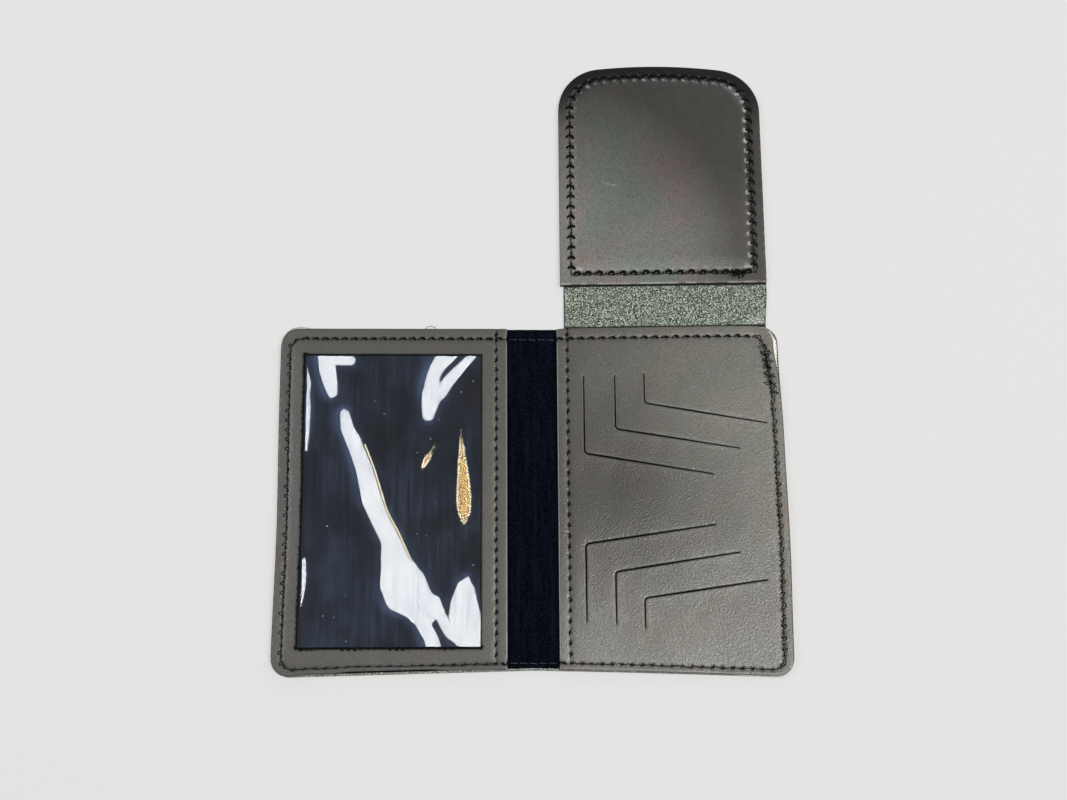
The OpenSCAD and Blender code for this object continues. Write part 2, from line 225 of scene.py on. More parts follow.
def cut_by_hand(points, pulled=False):
    """Moves points in the plane as the real leather was cut: the card half's top edge climbs outwards.

    With pulled the inner leather is drawn in at the card half's top outer corner and along the window
    half's foot, which bares the rim of the cover.
    """
    flat = np.array(points, float)
    moved = flat.copy()
    x, y = flat[:, 0], flat[:, 1]
    step_width, climb_width = 3, 75
    outward = np.clip((x - INNER_X - step_width) / climb_width, 0, 1)
    climb = ramp(y, *CLIMB_START) * (1 - ramp(y, *CLIMB_END))
    moved[:, 1] += (TOP_STEP * np.clip((x - INNER_X) / step_width, 0, 1) + TOP_CLIMB * outward) * climb
    moved[:, 1] -= FOOT_DROP * outward ** 2 * (1 - ramp(y, *DROP_END))
    moved[:, 0] -= CORNER_LEAN * outward ** 3 * ramp(y, *LEAN_START) * (1 - ramp(y, *LEAN_END))
    moved[:, 0] += CARD_SWELL * outward ** 3 * hump(y + 68, 25)
    moved[:, 0] += WINDOW_SWELL * np.clip(-x / OUTER_X, 0, 1) ** 3 * hump(y + 62, 30)
    if pulled:
        near = spot(flat, (89, 4), 90)
        moved[:, 0] -= CORNER_PULL_X * near
        moved[:, 1] -= CORNER_PULL_Y * near
        along = FOOT_PULL * ramp(x, -82, -78) * (1 - ramp(x, -14, -9))
        along += FOOT_PULL_MORE * ramp(x, -70, -62) * (1 - ramp(x, -36, -28))
        moved[:, 1] += along * (1 - ramp(y, FOOT_Y, FOOT_Y + 2.0))
    return moved


class Track:
    """A path of straight legs, which says how far points lie from it, on which side and how far along."""

    def __init__(self, points, closed=False):
        points = [tuple(p) for p in points]
        self.points = np.array(points + points[:1] if closed else points, float)
        legs = self.points[1:] - self.points[:-1]
        self.lengths = np.hypot(legs[:, 0], legs[:, 1])
        self.directions = legs / self.lengths[:, None]
        self.runs = np.concatenate([[0], np.cumsum(self.lengths)])
        self.length = float(self.runs[-1])

    def measure(self, points):
        """Distance to the path, positive to its left, and run along it of each point."""
        nearest = np.full(len(points), np.inf)
        side, run = np.ones(len(points)), np.zeros(len(points))
        for start, way, length, begun in zip(self.points, self.directions, self.lengths, self.runs):
            offset = points - start
            along = np.clip(offset @ way, 0, length)
            gap = offset - along[:, None] * way
            distance = np.hypot(gap[:, 0], gap[:, 1])
            closer = distance < nearest
            nearest[closer] = distance[closer]
            side[closer] = np.where(way[0] * offset[closer, 1] >= way[1] * offset[closer, 0], 1, -1)
            run[closer] = begun + along[closer]
        return nearest * side, run

    def at(self, run):
        """The point at a run along the path."""
        i = min(int(np.searchsorted(self.runs, run, side="right")) - 1, len(self.lengths) - 1)
        return self.points[i] + self.directions[i] * (run - self.runs[i])

    def part(self, start, end, step=0.5):
        """Points along the path from run to run, with every corner between."""
        count = max(1, math.ceil((end - start) / step))
        runs = {round(start + (end - start) * i / count, 4) for i in range(count + 1)}
        return [tuple(self.at(run)) for run in sorted(runs)]


def divided(loop, step):
    """The closed loop with its legs divided into steps, its corners kept."""
    points = []
    for (x0, y0), (x1, y1) in zip(loop, list(loop[1:]) + [loop[0]]):
        count = max(1, math.ceil(math.hypot(x1 - x0, y1 - y0) / step - 1e-6))
        points += [(x0 + (x1 - x0) * i / count, y0 + (y1 - y0) * i / count) for i in range(count)]
    return points


def drawn_in(loop, d):
    """The closed loop moved to its left by d, with mitred corners."""
    points = np.array(loop, float)
    legs = np.roll(points, -1, 0) - points
    after = np.stack([-legs[:, 1], legs[:, 0]], 1) / np.hypot(legs[:, 0], legs[:, 1])[:, None]
    before = np.roll(after, 1, 0)
    return points + d * (before + after) / (1 + (before * after).sum(1))[:, None]


def inside(points, loops):
    """True for each point that lies inside the loops, by counting crossings."""
    x, y = points[:, 0], points[:, 1]
    odd = np.zeros(len(points), bool)
    for loop in loops:
        for (x0, y0), (x1, y1) in zip(loop, list(loop[1:]) + [loop[0]]):
            if y0 != y1:
                crosses = (y0 > y) != (y1 > y)
                odd ^= crosses & (x < (x1 - x0) * (y - y0) / (y1 - y0) + x0)
    return odd


def ripple(points, wavelength, seed, waves=7):
    """Smooth irregular waves between about -1 and 1."""
    rng = random.Random(seed)
    total = np.zeros(len(points))
    for _ in range(waves):
        angle, phase = rng.uniform(0, math.pi), rng.uniform(0, 2 * math.pi)
        pace = 2 * math.pi / (wavelength * rng.uniform(0.7, 1.6))
        total += np.sin(pace * (points[:, 0] * math.cos(angle) + points[:, 1] * math.sin(angle)) + phase)
    return total / math.sqrt(waves) / 1.4


# Sheets

def put_in_scene(name, data):
    """A new object of a mesh, a lamp or a camera, linked to the scene."""
    made = bpy.data.objects.new(name, data)
    bpy.context.scene.collection.objects.link(made)
    return made


def loose_points(outlines, features, fine=None):
    """Points inside the outlines: close together near the features, further apart elsewhere."""
    corners = np.array(outlines[0])
    low, high = corners.min(0), corners.max(0)
    row_step = STEP * math.sqrt(3) / 2
    rows, columns = int((high[1] - low[1]) / row_step) + 1, int((high[0] - low[0]) / STEP) + 1
    row, column = np.mgrid[0:rows, 0:columns]
    grid = np.stack([
        (low[0] + (column + 0.5 * (row % 2)) * STEP).ravel(),
        (low[1] + row * row_step).ravel(),
    ], 1)
    wide = ((row % COARSE == 0) & (column % COARSE == 0)).ravel()
    grid_inside = inside(grid, outlines)
    grid, wide = grid[grid_inside], wide[grid_inside]
    clear = np.full(len(grid), np.inf)
    for outline in outlines:
        clear = np.minimum(clear, np.abs(Track(outline, True).measure(grid)[0]))
    near = clear.copy()
    for track in features:
        near = np.minimum(near, np.abs(track.measure(grid)[0]))
    close = near < DETAIL_BAND
    if fine is not None:
        close |= fine(grid)
    return grid[(clear > EDGE_ROWS[-1] + 0.4 * STEP) & (close | wide)]


def triangles_between(outlines, loose):
    """Points and anticlockwise triangles that fill the space between the outlines."""
    loops = [divided(outline, STEP) for outline in outlines]
    rows = [drawn_in(loop, d) for loop in loops for d in EDGE_ROWS]
    points, edges = [], []
    for loop in loops:
        first = len(points)
        points += loop
        edges += [(first + i, first + (i + 1) % len(loop)) for i in range(len(loop))]
    rest = np.concatenate([*rows, loose])
    rest = rest[inside(rest, outlines)]
    points += [tuple(p) for p in rest]
    found, _edges, faces, *_more = delaunay_2d_cdt([Vector(p) for p in points], edges, [], 0, 1e-5)
    found, faces = np.array(found), np.array(faces)
    faces = faces[inside(found[faces].mean(1), outlines)]
    a, b, c = (found[faces[:, i]] for i in range(3))
    area = (b[:, 0] - a[:, 0]) * (c[:, 1] - a[:, 1]) - (b[:, 1] - a[:, 1]) * (c[:, 0] - a[:, 0])
    real = np.abs(area) > SLIVER
    faces, turned = faces[real], area[real] < 0
    faces[turned] = faces[turned][:, ::-1]
    return found, faces


def rounding(points, edges):
    """How far a worn cut edge drops below the face of the leather."""
    nearest = np.full(len(points), np.inf)
    for edge in edges:
        nearest = np.minimum(nearest, np.abs(edge.measure(points)[0]))
    t = np.clip(1 - nearest / EDGE_R, 0, 1)
    return EDGE_R * (1 - np.sqrt(1 - t * t))


def walled_mesh(name, up, down, faces, materials):
    """A closed mesh of an upper and a lower face with a wall round every outline.

    The materials are those of the upper face, the lower face and the wall, which is the cut edge.
    """
    count = len(up)
    legs = {(a, b) for tri in faces.tolist() for a, b in zip(tri, tri[1:] + tri[:1])}
    walls = [(a + count, b + count, b, a) for a, b in sorted(legs) if (b, a) not in legs]
    mesh = bpy.data.meshes.new(name)
    polygons = faces.tolist() + (faces[:, ::-1] + count).tolist() + walls
    mesh.from_pydata((np.concatenate([up, down]) * MM).tolist(), [], polygons)
    for material in materials:
        mesh.materials.append(material)
    kinds = [0] * len(faces) + [1] * len(faces) + [2] * len(walls)
    mesh.polygons.foreach_set("material_index", kinds)
    mesh.polygons.foreach_set("use_smooth", [True] * len(kinds))
    return mesh


def make_sheet(name, outlines, features, top, bottom, materials, fine=None, pulled=False, edges=None,
               normals=None, more=()):
    """A closed sheet between the heights top(points) and bottom(points).

    Its points lie close together near the features and where fine says so. The edges are the cut ones,
    which are worn round: all the outlines, unless they are given. A point attribute gives the upper face's
    colour: above nil painted shade and dye, below nil painted highlights and pale rubbing, and on the film
    painted glint above nil and painted glow and haze below. normals gives the upper face its own, and more
    lists further points for fine creases.
    """
    loose = loose_points(outlines, features, fine)
    if len(more):
        loose = np.concatenate([loose, more])
    flat, faces = triangles_between(outlines, loose)
    worn = rounding(flat, [Track(outline, True) for outline in outlines] if edges is None else edges)
    high, marks_and_light = top(flat)
    low, low_marks_and_light = bottom(flat)
    placed = cut_by_hand(flat, pulled)
    up = np.column_stack([placed, high - worn])
    down = np.column_stack([placed, low + worn * UNDER_WORN])
    mesh = walled_mesh(name, up, down, faces, materials)
    mesh.attributes.new("marks_and_light", "FLOAT", "POINT").data.foreach_set(
        "value", np.concatenate([marks_and_light, low_marks_and_light]).astype(np.float32))
    mesh.update()
    if normals is None:
        mesh.set_sharp_from_angle(angle=SHARP_ANGLE)
    else:
        up_normals = normals(flat)
        mesh.normals_split_custom_set_from_vertices(np.concatenate([up_normals, -up_normals]).tolist())
    return put_in_scene(name, mesh)


# Seams

# A seam draws the leather down in a wide shallow dip, with this share of its depth, and a narrow groove
DIP_SHARE = 0.45
DIP_REACH, GROOVE_REACH, HOLE_REACH = 1.5, 0.5, 0.45


class Seam:
    """A run of stitches along a path, each from hole to hole."""

    def __init__(self, points, pitch=PITCH):
        self.track = Track(points)
        self.count = max(1, round(self.track.length / pitch))
        self.pitch = self.track.length / self.count

    def pressed(self, points, depth=0.2, hole=0.3):
        """How deep the leather is drawn down by the thread, and how deep it is pierced."""
        off, run = self.track.measure(points)
        to_hole = run - np.round(run / self.pitch) * self.pitch
        groove = depth * (DIP_SHARE * hump(off, DIP_REACH) + (1 - DIP_SHARE) * hump(off, GROOVE_REACH))
        return groove, hole * np.exp(-(off ** 2 + to_hole ** 2) / HOLE_REACH ** 2)


def pressed_by(seams, points, depth=0.2, hole=0.3):
    """Depth drawn down and pierced by several seams, and a share of painted shade in the holes and groove."""
    deep, holes = np.zeros(len(points)), np.zeros(len(points))
    for seam in seams:
        groove, pierced = seam.pressed(points, depth, hole)
        deep = np.maximum(deep, groove)
        holes = np.maximum(holes, pierced)
    return deep + holes, np.clip(holes / hole + 0.25 * deep / depth, 0, 1)


def seam_y(x):
    """Height of the slanted bottom seam at the distance x from the middle."""
    drop = (CORNER_FOOT_Y - FOOT_Y) * (x - FOLD_X) / (CORNER_X - FOLD_X)
    return FOOT_Y + BOTTOM_SEAM_INSET + drop


SEAM_CORNER_X = OUTER_X - SEAM_INSET - SEAM_CORNER_R
CROSS_X = INNER_X + SEAM_INSET
TOP_SEAM_Y = TOP_Y - SEAM_INSET


def half_seams(side):
    """The seams of one half: bottom, outer, top, beside the spine, and their short ends."""
    corner, low_y, top_y = SEAM_CORNER_X, seam_y(SEAM_CORNER_X) + SEAM_CORNER_R, TOP_SEAM_Y - SEAM_CORNER_R
    paths = {
        "bottom": [(CROSS_X, seam_y(CROSS_X)), (corner, seam_y(corner)),
                   *arc(corner, low_y, SEAM_CORNER_R, -90, -45, 3)[1:]],
        "outer": [*arc(corner, low_y, SEAM_CORNER_R, -45, 0, 3),
                  *arc(corner, top_y, SEAM_CORNER_R, 0, 90, 6)],
        "top": [(CROSS_X, TOP_SEAM_Y), (corner, TOP_SEAM_Y)],
        "fold": [(CROSS_X, seam_y(CROSS_X)), (CROSS_X, TOP_SEAM_Y)],
        "bottom_end": [(INNER_X, seam_y(INNER_X)), (CROSS_X, seam_y(CROSS_X))],
        "top_end": [(INNER_X, TOP_SEAM_Y), (CROSS_X, TOP_SEAM_Y)],
        "fold_end": [(CROSS_X, TOP_SEAM_Y), (CROSS_X, TOP_Y)],
    }
    pitches = PITCHES["right" if side > 0 else "left"]
    return {name: Seam([(side * x, y) for x, y in path], pitches.get(name, PITCH))
            for name, path in paths.items()}


def flap_seams():
    """The four runs of the flap's seam, parted half way round its two rounded corners."""
    ring = flap_outline(FLAP_SEAM_INSET)
    parted = 8
    paths = {
        "flap_foot": [ring[-1], ring[0]], "flap_right": ring[:parted + 1],
        "flap_top": ring[parted:-parted], "flap_left": ring[-parted - 1:],
    }
    return {name: Seam(path, PITCHES["flap"][name]) for name, path in paths.items()}


CARD_SEAMS = half_seams(1)
WINDOW_SEAMS = half_seams(-1)
FLAP_SEAMS = flap_seams()
FLAP_RING = Track(flap_outline(FLAP_SEAM_INSET), True)
SPINE_SEAMS = {
    "spine_foot": Seam([(-FOLD_X, FOOT_Y + BOTTOM_SEAM_INSET), (FOLD_X, FOOT_Y + BOTTOM_SEAM_INSET)]),
    "spine_top": Seam([(-FOLD_X, TOP_SEAM_Y), (FOLD_X, TOP_SEAM_Y)]),
}
BACK_SEAMS = [
    CARD_SEAMS["bottom"], CARD_SEAMS["outer"], WINDOW_SEAMS["bottom"], WINDOW_SEAMS["outer"],
    CARD_SEAMS["bottom_end"], WINDOW_SEAMS["bottom_end"], SPINE_SEAMS["spine_foot"], *FLAP_SEAMS.values(),
]

# Card slits: x of the stem, y of its outer end, y of the bend, and the point where the slanted cut ends
SLITS = (
    (18.6, -8.0, -36.0, 64.0, -43.4),
    (29.8, -7.8, -27.1, 74.0, -34.1),
    (40.4, -7.2, -17.8, 84.2, -24.9),
    (18.6, -95.6, -68.4, 64.2, -61.6),
    (28.9, -96.2, -78.2, 72.4, -71.4),
    (38.9, -97.8, -87.4, 81.6, -81.2),
)
# Width of a slit, its shares of it from end to end, and the radius of its bend
SLIT_W = 0.38
SLIT_BEND_R = 1.2
SLIT_SHARES = (0.7, 1.0, 1.35, 1.0, 0.7)


def slit_path(stem_x, end_y, bend_y, tip_x, tip_y):
    """Middle line of a slit from the stem's end round the bend to the tip."""
    stem = math.copysign(90, end_y - bend_y)
    slant = math.degrees(math.atan2(tip_y - bend_y, tip_x - stem_x))
    turn = math.radians(abs(stem - slant) / 2)
    setback = SLIT_BEND_R / math.tan(turn)
    centre_y = bend_y + math.copysign(setback, end_y - bend_y)
    start, end = (180, 270 + slant) if stem > 0 else (180, 90 + slant)
    bend = arc(stem_x + SLIT_BEND_R, centre_y, SLIT_BEND_R, start, end, 5)
    return [(stem_x, end_y), *bend, (tip_x, tip_y)]


SLIT_TRACKS = [Track(slit_path(*slit)) for slit in SLITS]


def slit_outline(track):
    """Clockwise outline of a slit, a little wider at its bend than at its ends."""
    runs = np.linspace(0, track.length, max(8, int(track.length / 0.9)))
    middle = np.array([track.at(run) for run in runs])
    ways = np.gradient(middle, axis=0)
    ways /= np.hypot(ways[:, 0], ways[:, 1])[:, None]
    across = np.stack([-ways[:, 1], ways[:, 0]], 1)
    width = SLIT_W * np.interp(runs / track.length, np.linspace(0, 1, len(SLIT_SHARES)), SLIT_SHARES)
    left, right = middle + across * width[:, None] / 2, middle - across * width[:, None] / 2
    loop = [tuple(p) for p in left] + [tuple(p) for p in right[::-1]]
    tips = (tuple(middle[0] - ways[0] * SLIT_W / 2), tuple(middle[-1] + ways[-1] * SLIT_W / 2))
    return [tips[0], *loop[:len(middle)], tips[1], *loop[len(middle):]]


# Outlines of the cover's pieces. The tab's right side meets the card half's top corner in a notch
NOTCH_ANGLE = math.degrees(math.acos((FLAP_HIGH.x - CORNER_X) / CORNER_R))
CARD_EDGE = [
    (0, FOOT_Y),
    *arc(CORNER_X, CORNER_FOOT_Y + CORNER_R, CORNER_R, -90, 0),
    *arc(CORNER_X, TOP_Y - CORNER_R, CORNER_R, 0, NOTCH_ANGLE),
]
NOTCH_X = CARD_EDGE[-1][0]
TAB_LOOP = [(NOTCH_X, SPLIT_Y), *flap_outline(), (STRIP_LEFT, FLAP_FOOT_Y), (STRIP_LEFT, SPLIT_Y)]
CARD_COVER_LOOP = [*CARD_EDGE, (NOTCH_X, SPLIT_Y), (STRIP_LEFT, SPLIT_Y), (STRIP_LEFT, TOP_Y), (0, TOP_Y)]
WINDOW_COVER_LOOP = mirrored(half_outline(0, 0))
# The cover's cut edges: not the middle of the spine, nor where the tab's piece joins the card half's
FREE_EDGES = [
    Track(CARD_EDGE), Track([(STRIP_LEFT, TOP_Y), (0, TOP_Y)]), Track(WINDOW_COVER_LOOP),
    Track([CARD_EDGE[-1], *flap_outline(), (STRIP_LEFT, FLAP_FOOT_Y), (STRIP_LEFT, TOP_Y)]),
]


# Heights of the upper and lower faces. Each function gives the heights and the press at points

def level(height):
    """A flat face with nothing pressed in."""
    return lambda points: (np.full(len(points), height), np.zeros(len(points)))


# Inner leather: wavelengths and heights of its ripples, how far it stands up on the near side of a slit and
# sinks on the far side, how wide those lips are, and how far from the slit's ends they are full
PANEL_RIPPLES = ((34, 0.09), (9, 0.03))
SLIT_LIFT, SLIT_SINK = 0.16, -0.10
LIP_REACH, LIP_RISE = 1.3, 4
# How dark painted shade makes the rim of the window and the slits, and dye the outer edge, how far each
# fades out beyond them, and how pale a painted highlight makes the edge beside the spine, and how far it
# reaches
HOLE_SHADE, SLIT_SHADE, EDGE_DYE = 0.97, 0.5, 0.9
SHADE_FADE, EDGE_DYE_FADE = 0.22, 0.25
SPINE_HIGHLIGHT, SPINE_HIGHLIGHT_FADE = 0.35, 0.3


def shaded_round(points, hole, seed):
    """Share of painted shade round a hole. hole lists its edges, each with the reach of its ragged band."""
    dark = np.zeros(len(points))
    ragged = 0.3 * ripple(points, 1.5, seed)
    for edge, reach in hole:
        beyond = np.maximum(np.abs(edge.measure(points)[0]) - reach * (1 + ragged), 0)
        dark = np.maximum(dark, HOLE_SHADE * fading(beyond, SHADE_FADE))
    return dark


def panel_top(base, seams, seed, slits=(), hole=()):
    """Upper face of inner leather: drawn down at the seams, lifted beside each slit, dark round a hole.

    It has painted shade in the seams' holes and grooves, beside the slits and round the window, its outer
    edge is dyed dark in patches, and the edge beside the spine has a painted highlight.
    """
    def height(points):
        deep, dark = pressed_by(seams.values(), points)
        dark = np.maximum(dark, shaded_round(points, hole, seed + 4))
        from_edge = np.abs(points[:, 0]).max() - np.abs(points[:, 0])
        patches = np.clip(0.6 + 1.3 * ripple(points, 1.8, seed + 5), 0, 1)
        dark = np.maximum(dark, EDGE_DYE * fading(from_edge, EDGE_DYE_FADE) * patches)
        high = base - deep
        for i, (wavelength, rise) in enumerate(PANEL_RIPPLES):
            high += rise * ripple(points, wavelength, seed + i)
        for track in slits:
            off, run = track.measure(points)
            fade = np.clip(np.minimum(run, track.length - run) / LIP_RISE, 0.15, 1)
            high += fade * np.where(off < 0, SLIT_LIFT, SLIT_SINK) * fading(np.abs(off), LIP_REACH)
            dark = np.maximum(dark, SLIT_SHADE * fading(np.abs(off), SHADE_FADE))
        pale = SPINE_HIGHLIGHT * fading(np.abs(points[:, 0]) - INNER_X, SPINE_HIGHLIGHT_FADE)
        return high, np.where(dark > 0.1, dark, dark - pale)
    return height


HOLE_EDGES = [(Track([start, end]), reach)
              for start, end, reach in zip(WINDOW_HOLE, WINDOW_HOLE[1:] + WINDOW_HOLE[:1], SHADE_REACHES)]
CARD_FACE = panel_top(PANEL_HIGH.z, CARD_SEAMS, 3, slits=SLIT_TRACKS)
FRAME_FACE = panel_top(FRAME_HIGH.z, WINDOW_SEAMS, 7, hole=HOLE_EDGES)


def cover_back(points):
    """Outside of the cover, with the seams drawn into it and painted shade in their holes."""
    deep, dark = pressed_by(BACK_SEAMS, points, depth=0.22, hole=0.2)
    return COVER_LOW.z + deep, dark


# Heights between which the cover's bare foot ends, and distances from a cut edge between which its dye ends
BARE_FOOT = (-110, -102)
DYED_BAND = (0.16, 0.42)
# Shadows under the panel's top edge and under the flap's foot: how far beyond each, and how wide
PANEL_GAP, PANEL_GAP_REACH = 0.3, 0.55
FLAP_GAP, FLAP_GAP_REACH = -0.2, 0.45


def cover_face(points):
    """Flesh side of the cover, which bare rims and the strip show.

    Dye has run in from its cut edge, and shadow lies in the gaps under the panel's top edge and the flap's
    foot. It is pale at the top outer corner and along the foot, where glue holds no lining.
    """
    x, y = points[:, 0], points[:, 1]
    near = np.full(len(points), np.inf)
    for edge in FREE_EDGES:
        near = np.minimum(near, np.abs(edge.measure(points)[0]))
    foot = 1 - ramp(y, *BARE_FOOT)
    dyed = (1 - ramp(near, *DYED_BAND)) * (1 - foot)
    gaps = hump(y - TOP_Y - PANEL_GAP, PANEL_GAP_REACH) + hump(y - FLAP_FOOT_Y - FLAP_GAP, FLAP_GAP_REACH)
    corner = spot(points, (90, 1), 95)
    dark = np.maximum(dyed, 1.1 * gaps * (x > STRIP_LEFT) * (x < FLAP_HIGH.x))
    pale = (corner + foot * (0.12 + 0.4 * ramp(x, 66, 76))) * (1 - dyed)
    return np.full(len(points), COVER_HIGH.z), np.where(dark > 0.15, dark, -pale)


def lining_face(points):
    """Lining, puckered by the seams that cross the spine, with slack ripples drawn out along the spine."""
    x = points[:, 0]
    deep, dark = pressed_by(SPINE_SEAMS.values(), points, depth=0.12, hole=0.1)
    bare = 1 - ramp(np.abs(x), FOLD_X - 1.5, FOLD_X)
    drawn_out = (1, 0.12)
    slack = 0.10 * ripple(points * drawn_out, 5.5, 31) + 0.05 * ripple(points, 12, 32)
    return LINING_HIGH.z + bare * (slack - deep * 0.7), dark * 0.3


# Widths of the slopes on which the leather rises over the board, and how far it bulges in the middle
RING_SLOPE, LEFT_SLOPE, FOOT_SLOPE = 2.6, 5.0, 7.0
FLAP_CROWN = 0.16
# How much each seam of the flap puckers the leather inside it, and how pale the highlights painted on its
# puckers are
PUCKERS = (
    ("flap_top", 1.1, 0.42), ("flap_right", 1.0, 0.75), ("flap_left", 0.5, 0.4), ("flap_foot", 0.4, 0.2),
)
PUCKER_HEIGHT = 0.3
# Distances inside the seam at which the puckers are highest and their painted highlights strongest, and how
# wide those bands are
PUCKER_IN, PUCKER_REACH = 1.4, 0.8
HIGHLIGHT_IN, HIGHLIGHT_REACH = 1.5, 0.95
# How dark painted shade makes the rim at the top of the flap, and how pale its scratch, its foot and its
# right edge are
RIM_SHADE = 0.62
SCRATCH_PALE, SCRATCH_REACH = 0.3, 0.2
FOOT_PALE, SIDE_PALE, EDGE_PALE_FADE = 0.55, 0.4, 0.3
SCRATCH = Track([(26.1, 66.7), (28.0, 65.9), (30.0, 65.3), (31.8, 65.4)])


def over_board(points, ring_off):
    """How far the flap's leather stands up over the board, from nil at its seam."""
    from_left, from_foot = points[:, 0] - FLAP_LOW.x, points[:, 1] - FLAP_FOOT_Y
    rise = np.minimum((from_left - FLAP_SEAM_INSET) / LEFT_SLOPE, (from_foot - FLAP_SEAM_INSET) / FOOT_SLOPE)
    rise = np.clip(np.minimum((ring_off - 0.3) / RING_SLOPE, rise), 0, 1)
    across = (points[:, 0] - (FLAP_LOW.x + FLAP_HIGH.x) / 2) / (FLAP_HIGH.x - FLAP_LOW.x) * 2
    along = (points[:, 1] - (FLAP_LOW.y + FLAP_HIGH.y) / 2) / (FLAP_HIGH.y - FLAP_LOW.y) * 2
    crown = FLAP_CROWN * rise * (1 - across ** 2) * (1 - along ** 2)
    return (FLAP_HIGH.z - RIM_TOP) * np.sin(rise * math.pi / 2) ** 0.9 + crown


def puckered(points, ring_off):
    """Puckers beside the flap's seam, one to each stitch, and how pale their painted highlights are."""
    pucker, pale = np.zeros(len(points)), np.zeros(len(points))
    highlight_patches = 0.35 * ripple(points, 2.6, 21)
    for name, weight, rubbed in PUCKERS:
        seam = FLAP_SEAMS[name]
        off, run = seam.track.measure(points)
        beside = np.abs(off) < 4
        pillow = np.abs(np.sin(math.pi * run / seam.pitch)) ** 0.8 - 0.6
        pucker += weight * PUCKER_HEIGHT * pillow * (hump(ring_off - PUCKER_IN, PUCKER_REACH) * beside)
        # Painted highlights on the tops of the puckers, in patches
        worn = np.clip(pillow * 2.2 - 0.25 + highlight_patches, 0, 1)
        pale = np.maximum(pale, rubbed * worn * hump(ring_off - HIGHLIGHT_IN, HIGHLIGHT_REACH) * beside)
    return pucker, pale


def flap_top(points):
    """Face of the flap: a rim outside the seam, and leather that stands up over the board inside it.

    Its rim is painted darker towards the top, as shade. Its puckers get painted highlights, and it is rubbed
    pale in a scratch and in patches along its foot and right edge.
    """
    ring_off = FLAP_RING.measure(points)[0]
    deep, dark = pressed_by(FLAP_SEAMS.values(), points, depth=0.26, hole=0.34)
    pucker, pale = puckered(points, ring_off)
    high = RIM_TOP + over_board(points, ring_off) - deep + pucker
    high = high + 0.06 * ripple(points, 30, 11) + 0.02 * ripple(points, 8, 12)
    # Painted shade on the rim towards the top of the flap
    rim = RIM_SHADE * ramp(-ring_off, 0.2, 1.2) * ramp(points[:, 1], 84, 106)
    from_foot, from_side = points[:, 1] - FLAP_FOOT_Y, FLAP_HIGH.x - points[:, 0]
    foot_patches = np.clip(0.7 + ripple(points, 5, 23), 0, 1)
    side_patches = np.clip(0.2 + 1.4 * ripple(points, 2.2, 25), 0, 1)
    pale = np.maximum(pale, SCRATCH_PALE * hump(SCRATCH.measure(points)[0], SCRATCH_REACH))
    pale = np.maximum(pale, FOOT_PALE * fading(from_foot, EDGE_PALE_FADE) * foot_patches)
    pale = np.maximum(pale, SIDE_PALE * fading(from_side, EDGE_PALE_FADE) * side_patches)
    return high, np.maximum(dark, rim) - pale


def flap_underside(points):
    """The face's own underside, which leaves room for the board."""
    over = np.maximum(FLAP_LOW.z, flap_top(points)[0] - PANEL_T)
    return np.where(FLAP_RING.measure(points)[0] > 0, over, FLAP_LOW.z), np.zeros(len(points))


# Folds of the film: the flanks that throw back the light. Each is a route of x, y and width
LIT_FOLDS = (
    ((-74.1, 1.0, 5.4), (-73.3, -5.3, 5.4), (-72.1, -10.5, 4.3), (-71.4, -13.6, 2.9)),
    ((-74.1, -0.8, 2.9), (-69.1, -1.2, 4.4), (-65.2, -1.7, 2.9)),
    ((-66.8, -21.7, 2.8), (-65.8, -26.9, 4.1), (-63.4, -31.7, 4.6), (-59.6, -41.1, 5.3),
     (-56.6, -52.6, 6.7), (-52.1, -61.5, 7.0), (-49.1, -67.1, 7.3), (-47.9, -74.2, 10.1),
     (-46.0, -80.5, 14.9), (-43.9, -85.0, 16.0), (-39.6, -89.5, 11.8), (-38.4, -91.2, 10.8)),
    ((-39.4, -90.9, 5.5), (-37.9, -96.4, 4.6), (-35.5, -100.4, 4.5), (-34.2, -104.6, 4.8)),
    ((-34.6, -88.5, 4.9), (-31.0, -95.3, 3.2), (-28.5, -98.7, 4.5), (-25.0, -102.1, 3.4)),
    ((-29.9, 1.0, 6.1), (-33.8, -3.8, 4.7), (-35.6, -8.1, 4.3), (-35.7, -14.2, 6.8),
     (-36.6, -18.4, 5.4), (-37.0, -22.0, 3.6)),
    ((-20.9, 0.6, 2.2), (-26.1, -5.0, 3.2), (-30.2, -9.9, 3.9), (-32.7, -14.2, 3.6)),
    ((-22.7, -80.2, 1.0), (-23.4, -82.6, 5.6), (-23.8, -88.5, 9.0), (-23.8, -93.0, 10.7),
     (-22.7, -99.9, 9.3), (-21.3, -104.3, 6.9)),
    ((-81.1, -5.3, 0.7), (-80.3, -10.5, 1.8), (-80.5, -13.5, 1.1), (-80.2, -18.2, 1.6),
     (-80.1, -27.4, 1.1), (-80.5, -34.6, 0.4)),
    ((-80.2, -73.7, 0.7), (-80.2, -79.0, 1.7), (-80.5, -84.2, 1.7), (-80.9, -89.3, 0.7)),
)
WARM_FOLDS = (
    ((-25.4, -27.0, 0.1), (-25.2, -32.9, 1.0), (-24.9, -39.6, 2.5), (-24.5, -46.2, 4.0),
     (-24.3, -52.0, 4.7), (-24.2, -56.2, 4.1), (-24.2, -59.2, 2.4), (-24.2, -60.8, 0.4)),
    ((-34.6, -32.5, 0.4), (-36.0, -35.6, 0.8), (-37.6, -38.0, 1.6), (-38.9, -40.8, 0.4)),
    ((-59.5, -32.8, 0.7), (-56.2, -41.1, 0.7), (-52.8, -51.8, 0.7), (-51.3, -56.7, 0.7),
     (-47.1, -64.3, 0.9), (-42.7, -73.8, 0.5)),
)
# How far a fold's slope may stray from the one that mirrors its light, the greatest slopes along X and Y
# of all other film, which must miss the lights, and the share of the slopes that the film's heights take
LEAN_PLAY = 0.008
PLAIN_LEAN = (0.05, 0.06)
FILM_RELIEF = 0.4
